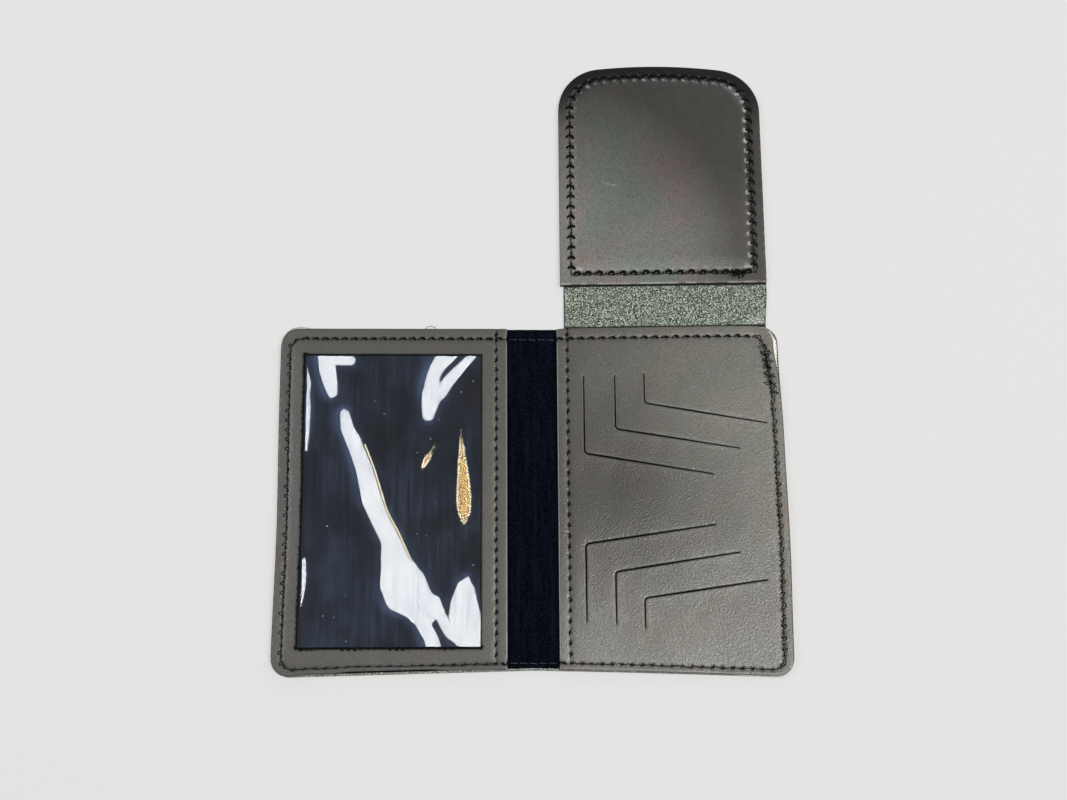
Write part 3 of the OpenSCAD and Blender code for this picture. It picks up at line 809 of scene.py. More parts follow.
# How softly a lit fold's edges end, how much wider than its route it is, and how softly each warm fold ends
FOLD_BLUR = 1.5
FOLD_WIDEN = 0.4
WARM_BLURS = (0.5, 0.5, 0.3)
# Grid on which the film's heights are solved: its step, how often, how far each turn goes beyond its
# limits to come nearer sooner, and how deep the film may hang
FILM_STEP = 0.5
FILM_TURNS = 120
OVERSHOOT = 1.7
FILM_LEAST = -0.1
# Reach of the painted warm glint at the rim of a warm fold, and beside the thinnest one, which is all glint.
# Reach of the painted glow round lit folds, and how far it is shifted, so that most lies on the window's side
GLINT_RIM, GLINT_LINE = 0.36, 0.3
GLOW_REACH, GLOW_SHIFT = 1.1, 1.0


def beside_fold(route, points):
    """Distance of points from the middle of a fold, run along it, and the fold's half width there."""
    route = np.array(route)
    track = Track(route[:, :2])
    off, run = track.measure(points)
    return np.abs(off), run, np.interp(run, track.runs, route[:, 2]) / 2


def fold_share(points, routes, blurs, widen=0.0):
    """Share, 0 to 1, by which points lie on any of the fold routes, each with its own blurred edge."""
    share = np.zeros(len(points))
    for route, blur in zip(routes, blurs):
        off, _run, half = beside_fold(route, points)
        share = np.maximum(share, ramp(half + widen - off, -blur, blur))
    return share


def solved_heights(rise_x, rise_y):
    """Heights, nil all round the grid, whose rises come nearest to those asked for (Poisson's equation)."""
    up, across = rise_x.shape[0], rise_y.shape[1]
    bend = (rise_x[:, 1:] - rise_x[:, :-1]) / FILM_STEP + (rise_y[1:] - rise_y[:-1]) / FILM_STEP
    odd = np.zeros((2 * (up + 1), 2 * (across + 1)))
    odd[1:up + 1, 1:across + 1] = bend
    odd[up + 2:, 1:across + 1] = -bend[::-1]
    odd[1:up + 1, across + 2:] = -bend[:, ::-1]
    odd[up + 2:, across + 2:] = bend[::-1, ::-1]
    ky = 2 * np.cos(2 * np.pi * np.arange(odd.shape[0]) / odd.shape[0]) - 2
    kx = 2 * np.cos(2 * np.pi * np.arange(odd.shape[1]) / odd.shape[1]) - 2
    scale = (ky[:, None] + kx[None, :]) / FILM_STEP ** 2
    scale[0, 0] = 1
    heights = np.zeros((up + 2, across + 2))
    heights[1:-1, 1:-1] = np.fft.ifft2(np.fft.fft2(odd) / scale).real[1:up + 1, 1:across + 1]
    return heights


def mirroring_slope(points, light, axis):
    """Slope along X or Y of film that throws a light back to the viewer from each point."""
    flat = np.column_stack([points * MM, np.zeros(len(points))])
    to_light, to_viewer = np.array(light) - flat, np.array(VIEWER) - flat
    to_light /= np.linalg.norm(to_light, axis=1)[:, None]
    to_viewer /= np.linalg.norm(to_viewer, axis=1)[:, None]
    between = to_light + to_viewer
    return -between[:, axis] / between[:, 2]


def slope_limits(points, axis):
    """Least and greatest slope that the film may have at each point along X or Y."""
    lit = fold_share(points, LIT_FOLDS, [FOLD_BLUR] * len(LIT_FOLDS), FOLD_WIDEN)
    warm = fold_share(points, WARM_FOLDS, WARM_BLURS)
    white, gold = (mirroring_slope(points, light, axis) for light in (WINDOW_LIGHT, WARM_LAMP))
    limits = []
    for way in (-1, 1):
        limit = np.full(len(points), way * PLAIN_LEAN[axis])
        limit += lit * (white + way * LEAN_PLAY - limit)
        limits.append(limit + warm * (gold + way * LEAN_PLAY - limit))
    return limits


def rises(heights):
    """Slopes along X and along Y between the neighbours in a grid of heights."""
    return np.diff(heights, axis=1)[1:-1] / FILM_STEP, np.diff(heights, axis=0)[:, 1:-1] / FILM_STEP


def film_heights():
    """Heights and slopes of the film over a grid in the window, found by turns.

    At each turn the rises are brought towards their limits, and then the heights that fit them best are
    solved, with the film held down all round.
    """
    across = int(round((WINDOW_RIGHT - WINDOW_LEFT) / FILM_STEP)) - 1
    up = int(round((WINDOW_TOP - WINDOW_LOW) / FILM_STEP)) - 1
    xs = WINDOW_LEFT + FILM_STEP * np.arange(across + 2)
    ys = WINDOW_LOW + FILM_STEP * np.arange(up + 2)
    half = FILM_STEP / 2
    at_x = np.stack(np.meshgrid(xs[:-1] + half, ys[1:-1]), -1).reshape(-1, 2)
    at_y = np.stack(np.meshgrid(xs[1:-1], ys[:-1] + half), -1).reshape(-1, 2)
    limits_x = [limit.reshape(up, across + 1) for limit in slope_limits(at_x, 0)]
    limits_y = [limit.reshape(up + 1, across) for limit in slope_limits(at_y, 1)]
    heights = np.zeros((up + 2, across + 2))
    for _ in range(FILM_TURNS):
        rise_x, rise_y = rises(heights)
        rise_x += OVERSHOOT * (np.clip(rise_x, *limits_x) - rise_x)
        rise_y += OVERSHOOT * (np.clip(rise_y, *limits_y) - rise_y)
        heights = np.maximum(solved_heights(rise_x, rise_y), FILM_LEAST)
    rise_x, rise_y = rises(heights)
    leans = np.stack([np.clip(rise_x, *limits_x)[:, 1:], np.clip(rise_y, *limits_y)[1:]])
    return heights * FILM_RELIEF, np.pad(leans, ((0, 0), (1, 1), (1, 1)), "edge")


FILM_GRID, FILM_LEANS = film_heights()
FILM_GAP = 0.15
FILM_BASE = LINING_HIGH.z + FILM_T + FILM_GAP


def in_window(points):
    """True where a point lies in the window."""
    x, y = points[:, 0], points[:, 1]
    return (x > WINDOW_LEFT) & (x < WINDOW_RIGHT) & (y > WINDOW_LOW) & (y < WINDOW_TOP)


def sampled(grid, points):
    """Values of a grid over the window at any points, between its own by shares."""
    column = np.clip((points[:, 0] - WINDOW_LEFT) / FILM_STEP, 0, grid.shape[1] - 1.001)
    row = np.clip((points[:, 1] - WINDOW_LOW) / FILM_STEP, 0, grid.shape[0] - 1.001)
    i, j = row.astype(int), column.astype(int)
    v, u = row - i, column - j
    return ((1 - v) * ((1 - u) * grid[i, j] + u * grid[i, j + 1])
            + v * ((1 - u) * grid[i + 1, j] + u * grid[i + 1, j + 1]))


def warm_glint_share(points):
    """Share of painted warm glint: round its sharpest warm folds, and all along the thinnest one."""
    share = np.zeros(len(points))
    for route, all_glint in zip(WARM_FOLDS, (False, False, True)):
        off, run, half = beside_fold(route, points)
        rim = 0.0 if all_glint else half
        reach = (GLINT_LINE if all_glint else GLINT_RIM) * (1 + 0.5 * ripple(points, 0.9, 31))
        tip = 1.0 if all_glint else np.clip(run / 7, 0.35, 1)
        share = np.maximum(share, tip * hump(off - rim, reach))
        share = np.maximum(share, 0.25 * (off < rim) * (1 + ripple(points, 0.7, 32)))
    return share


def glow_and_smudge(points):
    """Share of painted glow beside its lit folds, and of haze where a thumb has pressed it."""
    share = np.zeros(len(points))
    for route in LIT_FOLDS:
        off, _run, half = beside_fold(route, points + np.array([GLOW_SHIFT, 0]))
        beyond = np.maximum(off - half, 0)
        share = np.maximum(share, fading(beyond, GLOW_REACH) * (0.4 + 0.6 * np.clip(beyond / 0.6, 0, 1)))
    thumbed = 0.2 * np.exp(-((points[:, 0] + 76) / 14) ** 2 - ((points[:, 1] + 86) / 24) ** 2)
    return np.maximum(share, thumbed)


def film_top(points):
    """Upper face of the film, flat under its frame and loose in the window."""
    # Its colour: painted warm glint, and painted glow beside lit folds with haze where a thumb pressed
    glints = warm_glint_share(points)
    rubbed = glow_and_smudge(points) * np.clip(1 - glints / 0.2, 0, 1)
    return FILM_BASE + in_window(points) * sampled(FILM_GRID, points), glints - rubbed


def film_normals(points):
    """Normals of the film's upper face, sharper at the creases than its mesh can show."""
    loose = in_window(points)
    lean_x, lean_y = (loose * np.clip(sampled(lean, points), *slope_limits(points, axis))
                      for axis, lean in enumerate(FILM_LEANS))
    normals = np.column_stack([-lean_x, -lean_y, np.ones(len(points))])
    return normals / np.linalg.norm(normals, axis=1)[:, None]


def film_bottom(points):
    """Lower face of the film, a film's thickness below the upper one."""
    return film_top(points)[0] - FILM_T, np.zeros(len(points))


# Materials

def paint(code):
    """Linear colour of an sRGB hex value."""
    channels = [int(code[i:i + 2], 16) / 255 for i in (1, 3, 5)]
    return (*[c / 12.92 if c <= 0.04045 else ((c + 0.055) / 1.055) ** 2.4 for c in channels], 1.0)


def add(tree, kind, inputs=None, **settings):
    """A node with its settings. Its inputs are values, or links from sockets or from nodes' first outputs."""
    made = tree.nodes.new(kind)
    for key, value in settings.items():
        setattr(made, key, value)
    for key, value in (inputs or {}).items():
        if isinstance(value, bpy.types.Node):
            value = value.outputs[0]
        if isinstance(value, bpy.types.NodeSocket):
            tree.links.new(value, made.inputs[key])
        else:
            made.inputs[key].default_value = value
    return made


def new_material(name):
    """An empty material and its node tree."""
    made = bpy.data.materials.new(name)
    made.use_nodes = True
    made.node_tree.nodes.clear()
    return made, made.node_tree


def per_mm(size):
    """Texture scale whose cells are this many millimetres wide."""
    return 1 / (size * MM)


def coat(tree, colour, over, pattern, start, end, most=1.0):
    """The colour with another laid over it: none where the pattern is at start, the most of it at end."""
    share = add(tree, "ShaderNodeMapRange", {0: pattern, 1: start, 2: end, 4: most})
    return add(tree, "ShaderNodeMix", {0: share, 6: colour, 7: over}, data_type="RGBA").outputs[2]


# Colours of the painted shade in thread holes, grooves, cut lips and the window's rim, also used for dye, and
# of the painted highlights on puckers and by the spine, also used where the leather is rubbed pale
SHADE_AND_DYE_BLACK, HIGHLIGHT_AND_RUB_PALE = "#0a0a09", "#b4b4ae"


def grain_leather(name, base, warm, cool, pore, roughness, bump, worn=(), gloss=0.5):
    """Corrected-grain cowhide, finished with pigment and pressed nearly smooth.

    The eye sees a broad soft sheen over fine pores about 0.6 mm apart, and cloudy brown and green patches
    where the pigment lies thinner. Thread holes and cut lips are painted nearly black and dull as shade, and
    puckers beside a tight seam get painted highlights. worn lists places painted lighter or darker as sheen
    and shade: the centre, the reaches in millimetres at which it is full and at which it ends, and how many
    times lighter the finish is there.
    """
    material, tree = new_material(name)
    place = add(tree, "ShaderNodeTexCoord").outputs["Object"]
    marks_and_light = add(tree, "ShaderNodeAttribute", attribute_name="marks_and_light").outputs["Fac"]
    clouds = add(tree, "ShaderNodeTexNoise", {"Vector": place, "Scale": per_mm(16), "Detail": 3.0})
    patches = add(tree, "ShaderNodeTexNoise", {"Vector": place, "Scale": per_mm(21), "Detail": 2.0})
    mottle = add(tree, "ShaderNodeTexNoise", {
        "Vector": place, "Scale": per_mm(0.7), "Detail": 3.0, "Roughness": 0.75,
    })
    pores = add(tree, "ShaderNodeTexVoronoi", {"Vector": place, "Scale": per_mm(0.62), "Randomness": 1.0})
    colour = coat(tree, paint(base), paint(warm), clouds, 0.4, 0.62)
    colour = coat(tree, colour, paint(cool), patches, 0.42, 0.6)
    colour = coat(tree, colour, paint(pore), mottle, 0.42, 0.64, 0.62)
    for where, full, end, sheen_gain in worn:
        centre = Vector((*where, 0)) * MM
        away = add(tree, "ShaderNodeVectorMath", {0: place, 1: centre}, operation="DISTANCE").outputs["Value"]
        times = add(tree, "ShaderNodeMapRange", {0: away, 1: end * MM, 2: full * MM, 3: 1.0, 4: sheen_gain})
        colour = add(tree, "ShaderNodeVectorMath", {0: colour, "Scale": times}, operation="SCALE")
    colour = coat(tree, colour, paint(SHADE_AND_DYE_BLACK), marks_and_light, 0.05, 0.8)
    colour = coat(tree, colour, paint(HIGHLIGHT_AND_RUB_PALE), marks_and_light, -0.05, -0.9)
    grain = add(tree, "ShaderNodeMath", {0: pores, 1: mottle}, operation="ADD")
    shine = add(tree, "ShaderNodeMapRange", {0: marks_and_light, 1: 0.05, 2: 0.8, 3: gloss, 4: 0.02})
    dulled = add(tree, "ShaderNodeMapRange", {
        0: mottle, 1: 0.3, 2: 0.7, 3: roughness - 0.05, 4: roughness + 0.08,
    })
    relief = add(tree, "ShaderNodeBump", {"Strength": bump, "Distance": 0.12 * MM, "Height": grain})
    shader = add(tree, "ShaderNodeBsdfPrincipled", {
        "Base Color": colour, "Roughness": dulled, "Normal": relief, "Specular IOR Level": shine,
    })
    add(tree, "ShaderNodeOutputMaterial", {"Surface": shader})
    return material


def flesh_side(name):
    """Suede: the cut, unfinished underside of the hide, dyed through unevenly.

    It throws back light without gloss, and its loose fibres make light and dark specks about 0.5 mm wide.
    Along a cut edge it has taken up black dye, shadow is painted dark in the gaps under the panel's top edge
    and the flap's foot, and where glue was spread it has stayed pale.
    """
    material, tree = new_material(name)
    place = add(tree, "ShaderNodeTexCoord").outputs["Object"]
    marks_and_light = add(tree, "ShaderNodeAttribute", attribute_name="marks_and_light").outputs["Fac"]
    specks = add(tree, "ShaderNodeTexNoise", {
        "Vector": place, "Scale": per_mm(0.54), "Detail": 3.0, "Roughness": 0.8,
    })
    fibres = add(tree, "ShaderNodeTexVoronoi", {"Vector": place, "Scale": per_mm(0.5)})
    cloud = add(tree, "ShaderNodeTexNoise", {"Vector": place, "Scale": per_mm(14), "Detail": 2.0})
    colour = coat(tree, paint("#010201"), paint("#8c978a"), specks, 0.475, 0.55)
    colour = coat(tree, colour, paint("#ccd3c6"), specks, 0.58, 0.63, 0.7)
    colour = coat(tree, colour, paint("#4a5349"), fibres, 0.3, 0.8, 0.4)
    colour = coat(tree, colour, paint("#4f5750"), cloud, 0.45, 0.7, 0.3)
    # Black dye along cut edges and painted shadow in the gaps, then pale where glue was spread
    colour = coat(tree, colour, paint("#0b0b0a"), marks_and_light, 0.1, 0.8)
    colour = coat(tree, colour, paint("#d8d6cf"), marks_and_light, -0.05, -0.9)
    relief = add(tree, "ShaderNodeBump", {"Strength": 0.7, "Distance": 0.25 * MM, "Height": specks})
    shader = add(tree, "ShaderNodeBsdfPrincipled", {
        "Base Color": colour, "Roughness": 0.95, "Specular IOR Level": 0.2,
        "Sheen Weight": 0.25, "Sheen Roughness": 0.5, "Normal": relief,
    })
    add(tree, "ShaderNodeOutputMaterial", {"Surface": shader})
    return material


def cut_edge(name, dark, light):
    """Raw cut edge of leather: packed fibres in layers, dyed nearly black and a little rubbed."""
    material, tree = new_material(name)
    place = add(tree, "ShaderNodeTexCoord").outputs["Object"]
    layers = add(tree, "ShaderNodeMapping", {"Vector": place, "Scale": (1, 1, 5)})
    fibres = add(tree, "ShaderNodeTexNoise", {"Vector": layers, "Scale": per_mm(0.7), "Detail": 3.0})
    relief = add(tree, "ShaderNodeBump", {"Strength": 0.5, "Distance": 0.1 * MM, "Height": fibres})
    shader = add(tree, "ShaderNodeBsdfPrincipled", {
        "Base Color": coat(tree, paint(dark), paint(light), fibres, 0.4, 0.68),
        "Roughness": 0.85, "Normal": relief, "Specular IOR Level": 0.3,
    })
    add(tree, "ShaderNodeOutputMaterial", {"Surface": shader})
    return material


def lining_cloth(name):
    """Brushed polyester lining cloth: near black navy with a short nap.

    The nap lies in faint streaks along the spine, 1.5 mm apart, and a little blue sheen is painted on it in
    specks 0.85 mm wide. Real nap is finer, and it is drawn coarser so that the camera can see it.
    """
    material, tree = new_material(name)
    place = add(tree, "ShaderNodeTexCoord").outputs["Object"]
    drawn = add(tree, "ShaderNodeMapping", {"Vector": place, "Scale": (1, 0.07, 1)})
    streaks = add(tree, "ShaderNodeTexNoise", {"Vector": drawn, "Scale": per_mm(1.5), "Detail": 3.0})
    nap = add(tree, "ShaderNodeTexNoise", {
        "Vector": place, "Scale": per_mm(0.85), "Detail": 3.0, "Roughness": 0.7,
    })
    colour = coat(tree, paint("#020308"), paint("#090b16"), streaks, 0.45, 0.75)
    colour = coat(tree, colour, paint("#0b1620"), nap, 0.48, 0.68, 0.6)
    relief = add(tree, "ShaderNodeBump", {"Strength": 0.5, "Distance": 0.15 * MM, "Height": nap})
    shader = add(tree, "ShaderNodeBsdfPrincipled", {
        "Base Color": colour, "Roughness": 0.95, "Specular IOR Level": 0.02, "Normal": relief,
    })
    add(tree, "ShaderNodeOutputMaterial", {"Surface": shader})
    return material


def vinyl_shine(tree, place, marks_and_light, rubbed):
    """The clear film and its gloss: sharp, with a part spread wide, and broken up most where the warm glint
    is painted.
    """
    peel = add(tree, "ShaderNodeTexNoise", {
        "Vector": place, "Scale": per_mm(0.5), "Detail": 2.0, "Roughness": 0.7,
    })
    strength = add(tree, "ShaderNodeMapRange", {0: marks_and_light, 1: 0.2, 2: 0.7, 3: 0.3, 4: 1.0})
    relief = add(tree, "ShaderNodeBump", {"Strength": strength, "Distance": 0.06 * MM, "Height": peel})
    dulled = add(tree, "ShaderNodeMapRange", {0: rubbed, 1: 0.4, 2: 0.8, 3: 0.08, 4: 0.2})
    sharp = add(tree, "ShaderNodeBsdfGlossy", {
        "Color": paint("#fffdf8"), "Normal": relief, "Roughness": dulled,
    })
    spread = add(tree, "ShaderNodeBsdfGlossy", {"Color": paint("#cddafa"), "Roughness": 0.28})
    gloss = add(tree, "ShaderNodeMixShader", {0: 0.2, 1: sharp, 2: spread})
    clear = add(tree, "ShaderNodeBsdfTransparent", {"Color": paint("#f7f9fb")})
    edge_on = add(tree, "ShaderNodeFresnel", {"IOR": 1.5})
    return add(tree, "ShaderNodeMixShader", {0: edge_on, 1: clear, 2: gloss})


def vinyl_veil(tree, place, marks_and_light, rubbed):
    """Share of the film that is dulled: by rubbed streaks in clouds, by painted glow beside its lit folds,
    and by grains of dust.
    """
    clouds = add(tree, "ShaderNodeTexNoise", {"Vector": place, "Scale": per_mm(17), "Detail": 3.0})
    streaks = add(tree, "ShaderNodeMath", {
        0: add(tree, "ShaderNodeMapRange", {0: rubbed, 1: 0.35, 2: 0.8, 3: 0.2, 4: 1.0}),
        1: add(tree, "ShaderNodeMapRange", {0: clouds, 1: 0.4, 2: 0.68, 3: 0.004, 4: 0.026}),
    }, operation="MULTIPLY")
    folds = add(tree, "ShaderNodeMath", {
        0: add(tree, "ShaderNodeMapRange", {0: marks_and_light, 1: -1.0, 2: 0.0, 3: 0.16, 4: 0.0}),
        1: add(tree, "ShaderNodeMapRange", {0: clouds, 1: 0.38, 2: 0.62, 3: 0.25, 4: 1.0}),
    }, operation="MULTIPLY")
    hazy = add(tree, "ShaderNodeMath", {0: streaks, 1: folds})
    grains = add(tree, "ShaderNodeTexVoronoi", {"Vector": place, "Scale": per_mm(4)})
    chance = add(tree, "ShaderNodeSeparateColor", {"Color": grains.outputs["Color"]})
    dust = add(tree, "ShaderNodeMath", {
        0: add(tree, "ShaderNodeMath", {0: grains, 1: 0.06}, operation="LESS_THAN"),
        1: add(tree, "ShaderNodeMapRange", {0: chance, 1: 0.4, 2: 1.0, 3: 0.0, 4: 0.9}),
    }, operation="MULTIPLY")
    return add(tree, "ShaderNodeMath", {0: hazy, 1: dust}, operation="MAXIMUM")


def vinyl_glints(tree, place, marks_and_light):
    """Share of the film painted with warm glint in fine specks, most where the glint's share is highest."""
    glints = add(tree, "ShaderNodeTexNoise", {
        "Vector": place, "Scale": per_mm(0.42), "Detail": 2.0, "Roughness": 0.6,
    })
    broken = add(tree, "ShaderNodeMath", {0: glints, 1: 1.8, 2: marks_and_light}, operation="MULTIPLY_ADD")
    return add(tree, "ShaderNodeMath", {
        0: add(tree, "ShaderNodeMapRange", {0: marks_and_light, 1: 0.0, 2: 0.1}),
        1: add(tree, "ShaderNodeMapRange", {0: broken, 1: 1.25, 2: 1.8, 4: 0.7}),
    }, operation="MULTIPLY")


def clear_vinyl(name):
    """Plasticised vinyl film: clear and glossy, with fine rubbed streaks that dull it a little.

    Part of its shine is spread wide by the rubbing, which makes a soft bluish glow round each bright fold,
    and a painted bluish glow lies beside each lit fold as well. A fine orange peel in its face breaks the
    edges of the reflections into specks. Along its sharpest folds a warm pale glint is painted in a cream
    colour. Its attribute is a share of painted glint, or below nil one of painted glow and of thumb haze.
    """
    material, tree = new_material(name)
    place = add(tree, "ShaderNodeTexCoord").outputs["Object"]
    marks_and_light = add(tree, "ShaderNodeAttribute", attribute_name="marks_and_light").outputs["Fac"]
    drawn = add(tree, "ShaderNodeMapping", {"Vector": place, "Scale": (1, 0.05, 1)})
    rubbed = add(tree, "ShaderNodeTexNoise", {"Vector": drawn, "Scale": per_mm(1.1), "Detail": 3.0})
    haze = add(tree, "ShaderNodeBsdfDiffuse", {"Color": paint("#8fb0e8")})
    painted_glint = add(tree, "ShaderNodeBsdfDiffuse", {"Color": paint("#fff6d2")})
    veiled = add(tree, "ShaderNodeMixShader", {
        0: vinyl_veil(tree, place, marks_and_light, rubbed), 1: vinyl_shine(tree, place, marks_and_light, rubbed), 2: haze,
    })
    whole = add(tree, "ShaderNodeMixShader", {0: vinyl_glints(tree, place, marks_and_light), 1: veiled, 2: painted_glint})
    add(tree, "ShaderNodeOutputMaterial", {"Surface": whole})
    return material


def sewing_thread(name, dark, light, gloss):
    """Bonded polyester sewing thread: its twist shows as a fine light and dark ripple, 0.5 mm long."""
    material, tree = new_material(name)
    place = add(tree, "ShaderNodeTexCoord").outputs["Object"]
    twist = add(tree, "ShaderNodeTexNoise", {"Vector": place, "Scale": per_mm(0.45), "Detail": 1.0})
    relief = add(tree, "ShaderNodeBump", {"Strength": 0.6, "Distance": 0.08 * MM, "Height": twist})
    shader = add(tree, "ShaderNodeBsdfPrincipled", {
        "Base Color": coat(tree, paint(dark), paint(light), twist, 0.4, 0.65),
        "Roughness": 0.6, "Specular IOR Level": gloss, "Normal": relief,
    })
    add(tree, "ShaderNodeOutputMaterial", {"Surface": shader})
    return material


def grey_board(name):
    """Pressed grey-brown board of recycled fibres, dull, with specks of other fibres in it."""
    material, tree = new_material(name)
    place = add(tree, "ShaderNodeTexCoord").outputs["Object"]
    fibres = add(tree, "ShaderNodeTexNoise", {"Vector": place, "Scale": per_mm(1.2), "Detail": 5.0})
    relief = add(tree, "ShaderNodeBump", {"Strength": 0.4, "Distance": 0.1 * MM, "Height": fibres})
    shader = add(tree, "ShaderNodeBsdfPrincipled", {
        "Base Color": coat(tree, paint("#7c7263"), paint("#9b907d"), fibres, 0.35, 0.7),
        "Roughness": 0.9, "Normal": relief,
    })
    add(tree, "ShaderNodeOutputMaterial", {"Surface": shader})
    return material


# The worn places on the inner leather are painted sheen and shade: lighter along the card half's outer edge
# and foot, darker in its middle, as the gloss catches the lights there
INNER_LEATHER = grain_leather(
    "inner_cowhide", "#3d3e3b", "#413d39", "#3a3e3a", "#1d1e1c", 0.36, 0.45,
    worn=(((95, -15), 8, 80, 2.1), ((44, -120), 8, 62, 1.9), ((20, -106), 5, 20, 1.4),
          ((34, -50), 6, 44, 0.32)))
# The flap's base is painted darker than the inner leather's, as shade, and its worn places are painted sheen:
# lighter towards its lower left, less so towards its lower right, a little darker low in the middle
FLAP_LEATHER = grain_leather(
    "flap_cowhide", "#212221", "#262120", "#1e2220", "#0c0d0c", 0.4, 0.45,
    worn=(((10, 42), 14, 66, 7.4), ((70, 30), 18, 45, 2.0), ((46, 37), 6, 28, 0.8)), gloss=0.42)
OUTER_LEATHER = grain_leather("outer_cowhide", "#454642", "#484643", "#434542", "#30302e", 0.5, 0.24)
SUEDE = flesh_side("cover_flesh_side")
DARK_EDGE = cut_edge("dyed_cut_edge", "#11110f", "#2b2a26")
LINING = lining_cloth("navy_lining_cloth")
VINYL = clear_vinyl("clear_vinyl_film")
BLACK_THREAD = sewing_thread("black_polyester_thread", "#020203", "#111113", 0.08)
# The thread across the spine is black like the rest; its grey-blue colour is a painted highlight
HIGHLIT_SPINE_THREAD = sewing_thread("spine_thread_painted_highlight", "#232b34", "#434f5a", 0.2)
BOARD = grey_board("pressed_grey_board")


# Stitches

SIDES = 6


def strand(points, radii):
    """Vertices and faces of a thread through the points, which tapers by the radii."""
    verts, faces = [], []
    line = [Vector(p) for p in points]
    for i, (point, radius) in enumerate(zip(line, radii)):
        way = (line[min(i + 1, len(line) - 1)] - line[max(i - 1, 0)]).normalized()
        across = way.cross(Vector((0, 0, 1))).normalized()
        up = across.cross(way)
        for k in range(SIDES):
            turn = 2 * math.pi * k / SIDES
            verts.append(point + radius * (math.cos(turn) * across + math.sin(turn) * up))
    for i in range(len(line) - 1):
        for k in range(SIDES):
            a, b = i * SIDES + k, i * SIDES + (k + 1) % SIDES
            faces.append((a, b, b + SIDES, a + SIDES))
    faces.append(tuple(reversed(range(SIDES))))
    faces.append(tuple((len(line) - 1) * SIDES + k for k in range(SIDES)))
    return verts, faces


def stitch_form(name, strands):
    """A stitch as a hidden object for Geometry Nodes, along X about its middle."""
    verts, faces = [], []
    for points, radii in strands:
        more, polygons = strand(points, radii)
        faces += [tuple(i + len(verts) for i in polygon) for polygon in polygons]
        verts += [v * MM for v in more]
    mesh = bpy.data.meshes.new(name)
    mesh.from_pydata(verts, [], faces)
    mesh.polygons.foreach_set("use_smooth", [True] * len(faces))
    return bpy.data.objects.new(name, mesh)


HALF = PITCH / 2
# Every form is one or more threads, each of points and their radii, about the middle of a stitch along X.
# A lock stitch drawn tight: a thick slanted part out of one hole, a thin tail into the next
LOCK_RADII = [0.10, 0.26, 0.46, 0.53, 0.43, 0.18, 0.08, 0.08, 0.08]
LOCK = stitch_form("lock", [(
    [(-HALF, 0.12, -0.35), (-1.1, 0.28, 0.0), (-0.75, 0.26, 0.22), (-0.3, 0.05, 0.28), (0.1, -0.2, 0.2),
     (0.4, -0.3, 0.0), (0.7, -0.2, -0.08), (1.4, -0.02, -0.04), (HALF, 0.02, -0.3)], LOCK_RADII)])
# Beside the spine each stitch is pulled into its hole: a slanted dot at the hole, then a thin line
DOT_RADII = [0.08, 0.20, 0.38, 0.44, 0.34, 0.15, 0.08, 0.07, 0.07]
DOT = stitch_form("dot", [(
    [(-HALF, 0.08, -0.3), (-1.55, 0.26, 0.0), (-1.3, 0.22, 0.2), (-0.98, 0.02, 0.26), (-0.7, -0.18, 0.16),
     (-0.45, -0.24, -0.06), (0.3, -0.14, -0.1), (1.2, 0.0, -0.06), (HALF, 0.02, -0.3)], DOT_RADII)])
DOT_STEEP = stitch_form("dot_steep", [(
    [(-HALF, 0.06, -0.3), (-1.5, 0.34, 0.0), (-1.28, 0.28, 0.2), (-1.0, 0.02, 0.26), (-0.76, -0.26, 0.16),
     (-0.5, -0.34, -0.06), (0.3, -0.12, -0.1), (1.2, 0.04, -0.06), (HALF, 0.02, -0.3)], DOT_RADII)])
LOCK_SHORT = stitch_form("lock_short", [(
    [(-HALF, 0.10, -0.35), (-1.0, 0.22, 0.0), (-0.7, 0.20, 0.22), (-0.35, 0.03, 0.28), (0.0, -0.16, 0.2),
     (0.25, -0.24, 0.0), (0.6, -0.15, -0.08), (1.4, 0.0, -0.04), (HALF, 0.02, -0.3)], LOCK_RADII)])
# The edge seam, whose under thread was pulled to the face: a thin wavering line, hooked at the outer side.
# The outer side lies to the right of the card half's seams, and to the left of the window half's
WAVER = [0.12, 0.20, 0.16, 0.22, 0.16, 0.12]
HOOK = [0.10, 0.15, 0.17, 0.15, 0.13, 0.10]
HOOK_OUT = stitch_form("hook_out", [
    ([(-HALF, 0.0, -0.2), (-1.1, 0.34, 0.14), (-0.3, -0.2, 0.12), (0.4, 0.22, -0.14), (1.1, -0.3, 0.12),
      (HALF, 0.0, -0.2)], WAVER),
    ([(-1.3, -0.1, -0.1), (-1.15, -0.7, 0.16), (-0.6, -1.1, 0.2), (0.1, -1.05, 0.2), (0.5, -0.55, 0.2),
      (0.4, 0.0, 0.1)], HOOK),
])
HOOK_LOOSE = stitch_form("hook_loose", [
    ([(-HALF, 0.0, -0.2), (-1.0, -0.26, -0.12), (-0.3, 0.34, 0.16), (0.4, -0.2, 0.14), (1.1, 0.24, -0.1),
      (HALF, 0.0, -0.2)], WAVER),
    ([(-1.5, 0.1, -0.1), (-1.2, -0.4, 0.16), (-0.5, -0.9, 0.22), (0.1, -0.7, 0.24), (-0.1, -0.15, 0.26),
      (-0.7, 0.35, 0.1)], HOOK),
])
LOOP_OUT = stitch_form("loop_out", [
    ([(-HALF, 0.0, -0.2), (-1.1, 0.28, 0.12), (-0.4, -0.18, -0.12), (0.4, 0.3, 0.14), (1.1, -0.2, 0.1),
      (HALF, 0.0, -0.2)], WAVER),
    ([(-0.9, 0.0, 0.1), (-0.5, -0.8, 0.22), (0.1, -1.2, 0.24), (0.6, -0.9, 0.24), (0.45, -0.35, 0.24),
      (-0.1, -0.25, 0.1)], HOOK),
    ([(-0.4, 0.1, 0.1), (0.1, 0.55, 0.2), (0.7, 0.75, -0.1)], [0.12, 0.15, 0.10]),
])
